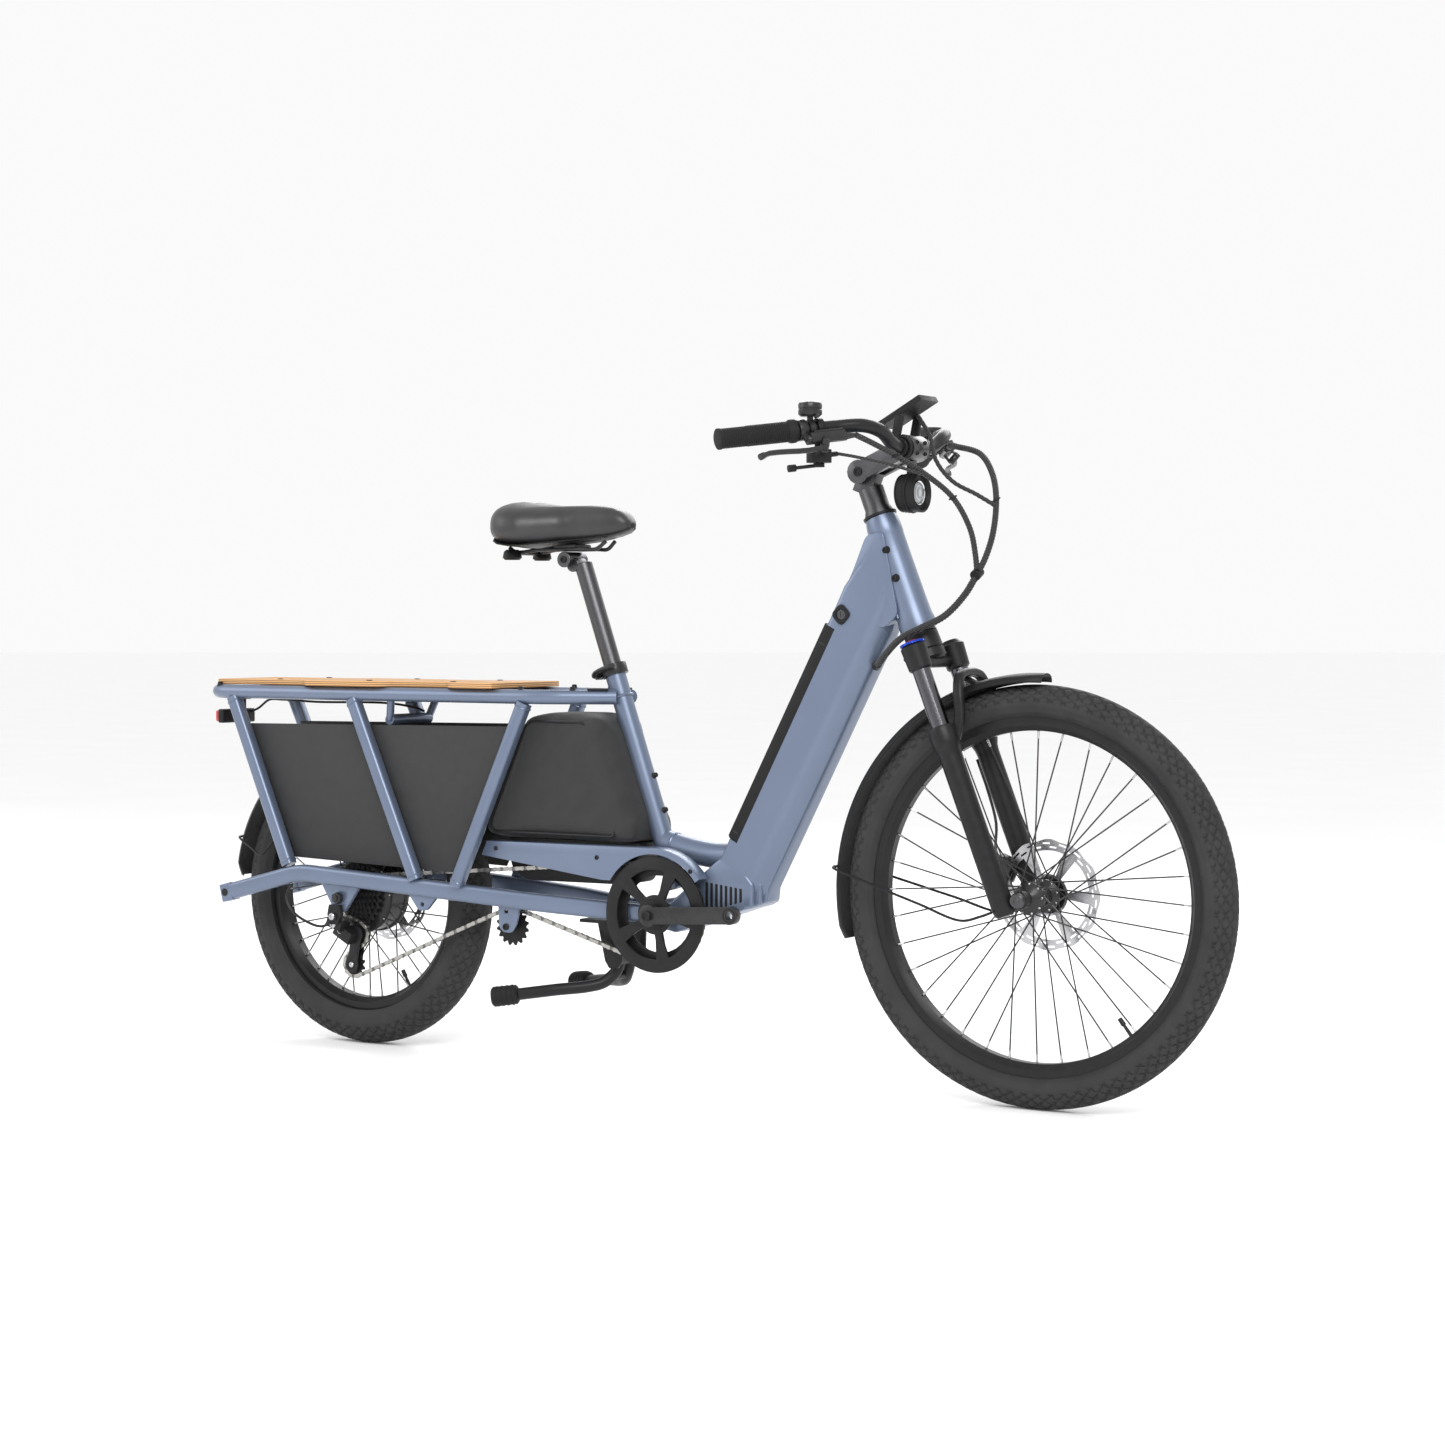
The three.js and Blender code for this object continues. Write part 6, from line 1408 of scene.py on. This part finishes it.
# ---------------------------------------------------------------- fork and handlebar
def fork():
    b = Build()
    b.rod(on_fork(436), on_fork(468), 29, 28, 56, round_edge=3)
    b.rod(on_fork(467), on_fork(472.2), 28, 26, 56)
    b.rod(on_fork(450), on_fork(716), 14.3)
    b.block((34, 2 * LEG_Y - 8, 18), on_fork(422, 1), turn=Quaternion(Y, math.pi / 2 - HEAD_ANGLE), bevel=5)
    b.rod(on_fork(419), on_fork(440), 30, 29, 48, round_edge=4)
    for side in (LEFT, RIGHT):
        y = side * LEG_Y
        b.rod(on_fork(400, LEG_AHEAD, y), on_fork(443, LEG_AHEAD, y), 19.4, 21.5, 44, round_edge=3)
        b.rod(on_fork(205, LEG_AHEAD, y), on_fork(420, LEG_AHEAD, y), 15, sides=44, slot=1)
    b.rod(on_fork(441, LEG_AHEAD, LEG_Y), on_fork(449, LEG_AHEAD, LEG_Y), 17, 15, 32, round_edge=2)
    b.piece("fork_crown_legs", [BLACK, STANCHION], "steerer", ["fork_crown"], "alloy_black")

    dial = Build()
    low = on_fork(443.4, LEG_AHEAD, -LEG_Y)
    dial.rod(low, on_fork(447.6, LEG_AHEAD, -LEG_Y), 20.5, 20, 40)
    for i in range(20):
        a = 2 * math.pi * i / 20
        out = STEER_AHEAD * math.cos(a) + Y * math.sin(a)
        dial.rod(low + out * 19.6, on_fork(447.6, LEG_AHEAD, -LEG_Y) + out * 19.6, 1.3, sides=8)
    dial.rod(on_fork(447.2, LEG_AHEAD, -LEG_Y), on_fork(450, LEG_AHEAD, -LEG_Y), 13, 11, 32, slot=1)
    dial.piece("preload_knob", [BLUE, RED], "preload", ["preload_dial"], "dial")

    low = Build()
    for side in (LEFT, RIGHT):
        y = side * LEG_Y
        low.lathe([(0, -16), (13, -16), (17, -12), (18.5, -4), (18.5, 252), (19.5, 262), (23, 272),
                   (23.4, 278),
                   (23.4, 298), (22, 302), (16, 302), (15.6, 290), (15.6, 112), (0, 112)],
                  on_fork(0, LEG_AHEAD, y), STEER_UP, 48)
        low.ring(on_fork(302, LEG_AHEAD, y), STEER_UP, 17.4, 1.6, 36)
        low.rod(on_fork(0, FORK_OFFSET, side * 53), on_fork(0, FORK_OFFSET, side * 66), 15, 14, 40,
                round_edge=2)
        low.sweep(box_section(11, 24, 4),
                  [on_fork(-2, LEG_AHEAD + 4, side * 60), on_fork(0, FORK_OFFSET - 4, side * 60)])
    f = LEG_AHEAD
    arch = [on_fork(276, f + 14, -60), on_fork(306, f + 32, -56), on_fork(346, f + 42, -51),
            on_fork(370, f + 46, -38),
            on_fork(377, f + 47, -18), on_fork(378, f + 47, 0)]
    low.sweep(box_section(13, 17, 5), smooth_path(arch + flip(arch[:-1])[::-1], 6))
    low.rod(on_fork(0, FORK_OFFSET, -76), on_fork(0, FORK_OFFSET, 76), 6, slot=1)
    low.rod(on_fork(0, FORK_OFFSET, -78), on_fork(0, FORK_OFFSET, -65), 12, 12, 32, slot=1, round_edge=2)
    low.bolt(on_fork(0, FORK_OFFSET, -77.4), -Y, 6, 1.6, slot=1)
    low.piece("fork_lower_legs", [BLACK, GUNMETAL], "lowers", ["fork_lowers"], "alloy_black")


def cockpit():
    dress("stem_base", GUNMETAL, 1.6)
    dress("stem_arm", GUNMETAL, 2.0)
    stem = Build()
    pivot = on_fork(752)
    for y in (-25, 25):
        stem.bolt(pivot + Y * y, Y * y, 8, 2.4)
    for dx, dz in ((24, -9), (24, 9)):
        for y in (-14, 14):
            stem.bolt((1130 + dx * 0.8, y, 1060 + dz), (1, 0, 0), 3.4, 3)
    stem.piece("stem_bolts", BLACK, "bars", slot="black_metal")
    spacers = Build()
    spacers.lathe([(15, 672), (28, 672), (28.4, 676), (15, 676), (15, 672)], STEER_FOOT, STEER_UP, 48)
    spacers.piece("headset_cap", BLACK, "steerer", slot="black_metal")

    b = Build()
    b.tube(flip(BAR[1:])[::-1] + BAR, 11.1, 28, 7)
    b.rod((1130, -42, 1060), (1130, 42, 1060), 15.8, sides=40)
    b.piece("handlebar_tube", BLACK, "bars", ["handlebar"], "alloy_black")
    for side, name in ((RIGHT, "grip_right"), (LEFT, "grip_left")):
        g = Build()
        start, end = on_bar(-2), BAR_END + BAR_OUT * 6
        profile = [(11.4, 0), (18.4, 0), (18.8, 2), (18.8, 9), (17, 12)]
        length = (end - start).length
        steps = 30
        for i in range(steps):
            along = 14 + (length - 20) * i / steps
            profile += [(16.6 - 0.5 * (i > 18), along), (15.7 - 0.5 * (i > 18), along + 1.2)]
        profile += [(16.8, length - 5), (16.8, length - 1), (15, length), (0, length)]
        profile = [(0, 0)] + profile
        g.lathe(profile, start, BAR_OUT, 40)
        if side == LEFT:
            g.verts = flip(g.verts)
        g.piece(name + "_ribbed", GRIP, "bars", [name], "rubber")
    for name, made, slot, width in (
            ("brake_perch_right", BLACK_GLOSS, "dark_metal", 1.4),
            ("brake_perch_left", BLACK_GLOSS, "dark_metal", 1.4),
            ("brake_lever_right", BLACK_GLOSS, "dark_metal", 1.4),
            ("brake_lever_left", BLACK_GLOSS, "dark_metal", 1.4),
            ("shifter_pod", PLASTIC, "plastic", 2.0), ("shifter_lever", PLASTIC, "plastic", 1.4),
            ("display", PLASTIC, "plastic", 1.6)):
        dress(name, made, width)
    for side, name in ((RIGHT, "reservoir_right"), (LEFT, "reservoir_left")):
        tank = Build()
        centre = LEVER_OUT * 26 + Vector((0, 0, 2))
        tank.sweep(box_section(18, 17, 3), [on_bar(74) + centre, on_bar(15) + centre])
        tank.sweep(box_section(14, 3, 1),
                   [on_bar(70) + centre + Vector((0, 0, 9.4)), on_bar(20) + centre + Vector((0, 0, 9.4))])
        if side == LEFT:
            tank.verts = flip(tank.verts)
        tank.piece(name, BLACK_GLOSS, "bars", slot="dark_metal")
    screen = Build()
    tilt = Quaternion(Y, -math.radians(29))
    screen.block((74, 52, 1.2), Vector((1125, 0, 1119)) + tilt @ Vector((0, 0, 5.2)), turn=tilt, bevel=0.4)
    screen.block((6, 40, 2.4), Vector((1125, 0, 1119)) + tilt @ Vector((-41, 0, 0)), turn=tilt, bevel=0.6)
    screen.piece("display_screen", SCREEN, "bars", slot="plastic")

    seat_at = on_bar(24.5)
    bell = Build()
    bell.lathe([(11.4, 20), (15, 20), (15, 29), (11.4, 29), (11.4, 20)], GRIP_START, -BAR_OUT, 36)
    bell.rod(seat_at + Vector((0, 0, 13)), seat_at + Vector((0, 0, 22)), 5)
    bell.lathe([(0, 20), (15, 20), (18.6, 23), (19, 24), (19, 30), (18.2, 31), (18.2, 32.4), (19, 33.4),
                (19, 39),
                (17.6, 42), (14, 43.6), (0, 44.4)], seat_at, (0, 0, 1), 48)
    bell.rod(seat_at + Vector((14, -8, 18)), seat_at + Vector((22, -14, 20)), 2.4, 3.4, 12)
    bell.piece("bell_dome", BLACK_GLOSS, "bars", ["bell"], "alloy_black")

    lamp = Build()
    centre = Vector((1133, 0, 987.6))
    lamp.lathe([(0, -22), (20, -22), (27, -19), (30, -14), (31.5, -8), (31.5, 14), (32, 19), (30, 20),
                (28, 18),
                (25, 4), (12, -4), (0, -5)], centre, (1, 0, 0), 64)
    for i in range(4):
        lamp.ring(centre + Vector((-16 + 6 * i, 0, 0)), (1, 0, 0), 29.5 + 0.7 * i, 1.6, 48)
    lamp.lathe([(0, 4), (29, 4), (28.5, 13), (19, 11), (17, 9), (0, 9)], centre, (1, 0, 0), 48)
    lamp.lathe([(17.5, 10.4), (19.6, 12), (19.6, 14), (17.5, 13), (17.5, 10.4)], centre, (1, 0, 0), 40,
               slot=2)
    lamp.lathe([(0, 9.4), (17, 9.4), (16, 12.6), (9, 15), (0, 16)], centre, (1, 0, 0), 40, slot=1)
    for y in (-6, 6):
        lamp.block((12, 3, 20), (1133, y, 1023), bevel=0.8)
    lamp.piece("headlamp", [PLASTIC, CLEAR_LENS, CHROME], "headlight", ["headlight"], "plastic")


def cables():
    """Brake, gear and display leads gathered at a clip, then one bundle into the frame."""
    clip = Vector((1246, 12, 855))
    start = on_bar(95.2) + LEVER_OUT * 26
    upper = Build()
    upper.cord([start, (1130, -126, 1062), (1150, -88, 1044), (1180, -45, 1016), (1214, -12, 978),
                (1236, 6, 928),
                (1244, 10, 885), clip], 4.9)
    other = Vector((start.x, -start.y, start.z))
    upper.cord([other, (1142, 140, 1070), (1196, 118, 1056), (1236, 84, 1022), (1262, 48, 976),
                (1268, 24, 920),
                (1258, 16, 880), clip], 5.3)
    upper.cord([(1138, 12, 1113), (1158, 15, 1080), (1170, 14, 1040), (1198, 18, 1006), (1236, 30, 984),
                (1264, 40, 966)],
               3.8, strands=3)
    pod = on_bar(40) + Vector((0, 0, -43)) + BAR_OUT * -33
    upper.tube([pod, (1112, -146, 1040), (1150, -96, 1028), (1181, -45, 1014)], 2.6, 12)
    upper.rod((1246, 4, 852), (1246, 20, 860), 9, 9, 20, slot=1)
    for p in ((1214, -12, 978), (1262, 48, 976), (1150, -88, 1044)):
        upper.ring(p, (0.4, 0.3, -0.9), 6.2, 1.6, 20, slot=1)
    top = upper.piece("cable_upper", [BRAID, PLASTIC], "bars", ["cable_bundle"], "plastic", hold=True)
    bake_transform(top)
    lower = Build()
    route = [clip, (1230, 0, 822), (1204, -20, 788), (1174, -42, 769), (1142, -52, 752), (1112, -46, 728),
             (1094, -36, 713), (1083.5, -29, 706)]
    lower.cord(route, 5.9)
    made = lower.piece("cable_lower", BRAID, "frame", slot="plastic", hold=True)
    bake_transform(made)


# ---------------------------------------------------------------- studio
FLOOR_HALF = 60
FLOOR_DROP = 0.0005
FOCAL_LENGTH = 71.04
SENSOR_WIDTH = 36
VIEW_DISTANCE_LIMIT = 60


def area_light(name, at, aim, size, power):
    data = bpy.data.lights.new(name, "AREA")
    data.shape = "RECTANGLE"
    data.size, data.size_y = size
    data.energy = power
    made = bpy.data.objects.new(name, data)
    made.location = at
    made.rotation_euler = (Vector(aim) - Vector(at)).to_track_quat("-Z", "Y").to_euler()
    bpy.context.scene.collection.objects.link(made)


def studio():
    bpy.context.scene.view_settings.view_transform = "Standard"
    world = bpy.data.worlds.new("studio")
    world.use_nodes = True
    world.node_tree.nodes["Background"].inputs["Color"].default_value = (1, 1, 1, 1)
    world.node_tree.nodes["Background"].inputs["Strength"].default_value = 0.96
    bpy.context.scene.world = world
    floor_mesh = bpy.data.meshes.new("floor")
    half = FLOOR_HALF
    floor_mesh.from_pydata([(-half, -half, 0), (half, -half, 0), (half, half, 0), (-half, half, 0)], [],
                           [(0, 1, 2, 3)])
    floor_mesh.materials.append(finish("floor_white", (0.97, 0.97, 0.97), 0.75, vary=0.01, grain=2,
                                       relief=0.02))
    floor = bpy.data.objects.new("floor", floor_mesh)
    floor.location.z = -FLOOR_DROP
    bpy.context.scene.collection.objects.link(floor)
    area_light("key", (2.6, -3.4, 3.6), (0, 0, 0.5), (3.0, 2.0), 170)
    area_light("fill", (-3.4, -2.6, 2.4), (0, 0, 0.5), (3.0, 2.4), 50)
    area_light("rim", (-0.6, 3.6, 3.0), (0, 0, 0.6), (4.0, 1.6), 90)


def camera():
    data = bpy.data.cameras.new("view")
    data.sensor_width = SENSOR_WIDTH
    data.lens = FOCAL_LENGTH
    data.clip_end = VIEW_DISTANCE_LIMIT
    made = bpy.data.objects.new("view", data)
    made.location = place(3332.0, -4114.3, 789.1)
    target = place(769.6, 0, 606.5)
    made.rotation_euler = (target - made.location).to_track_quat("-Z", "Y").to_euler()
    bpy.context.scene.collection.objects.link(made)
    bpy.context.scene.camera = made


wheels()
drivetrain()
main_beam()
main_details()
seat_tube()
rack()
for frame_side in (RIGHT, LEFT):
    side_frame(frame_side)
chain_guard()
fenders()
panels()
stand()
seat()
bag()
fork()
cockpit()
cables()
studio()
camera()
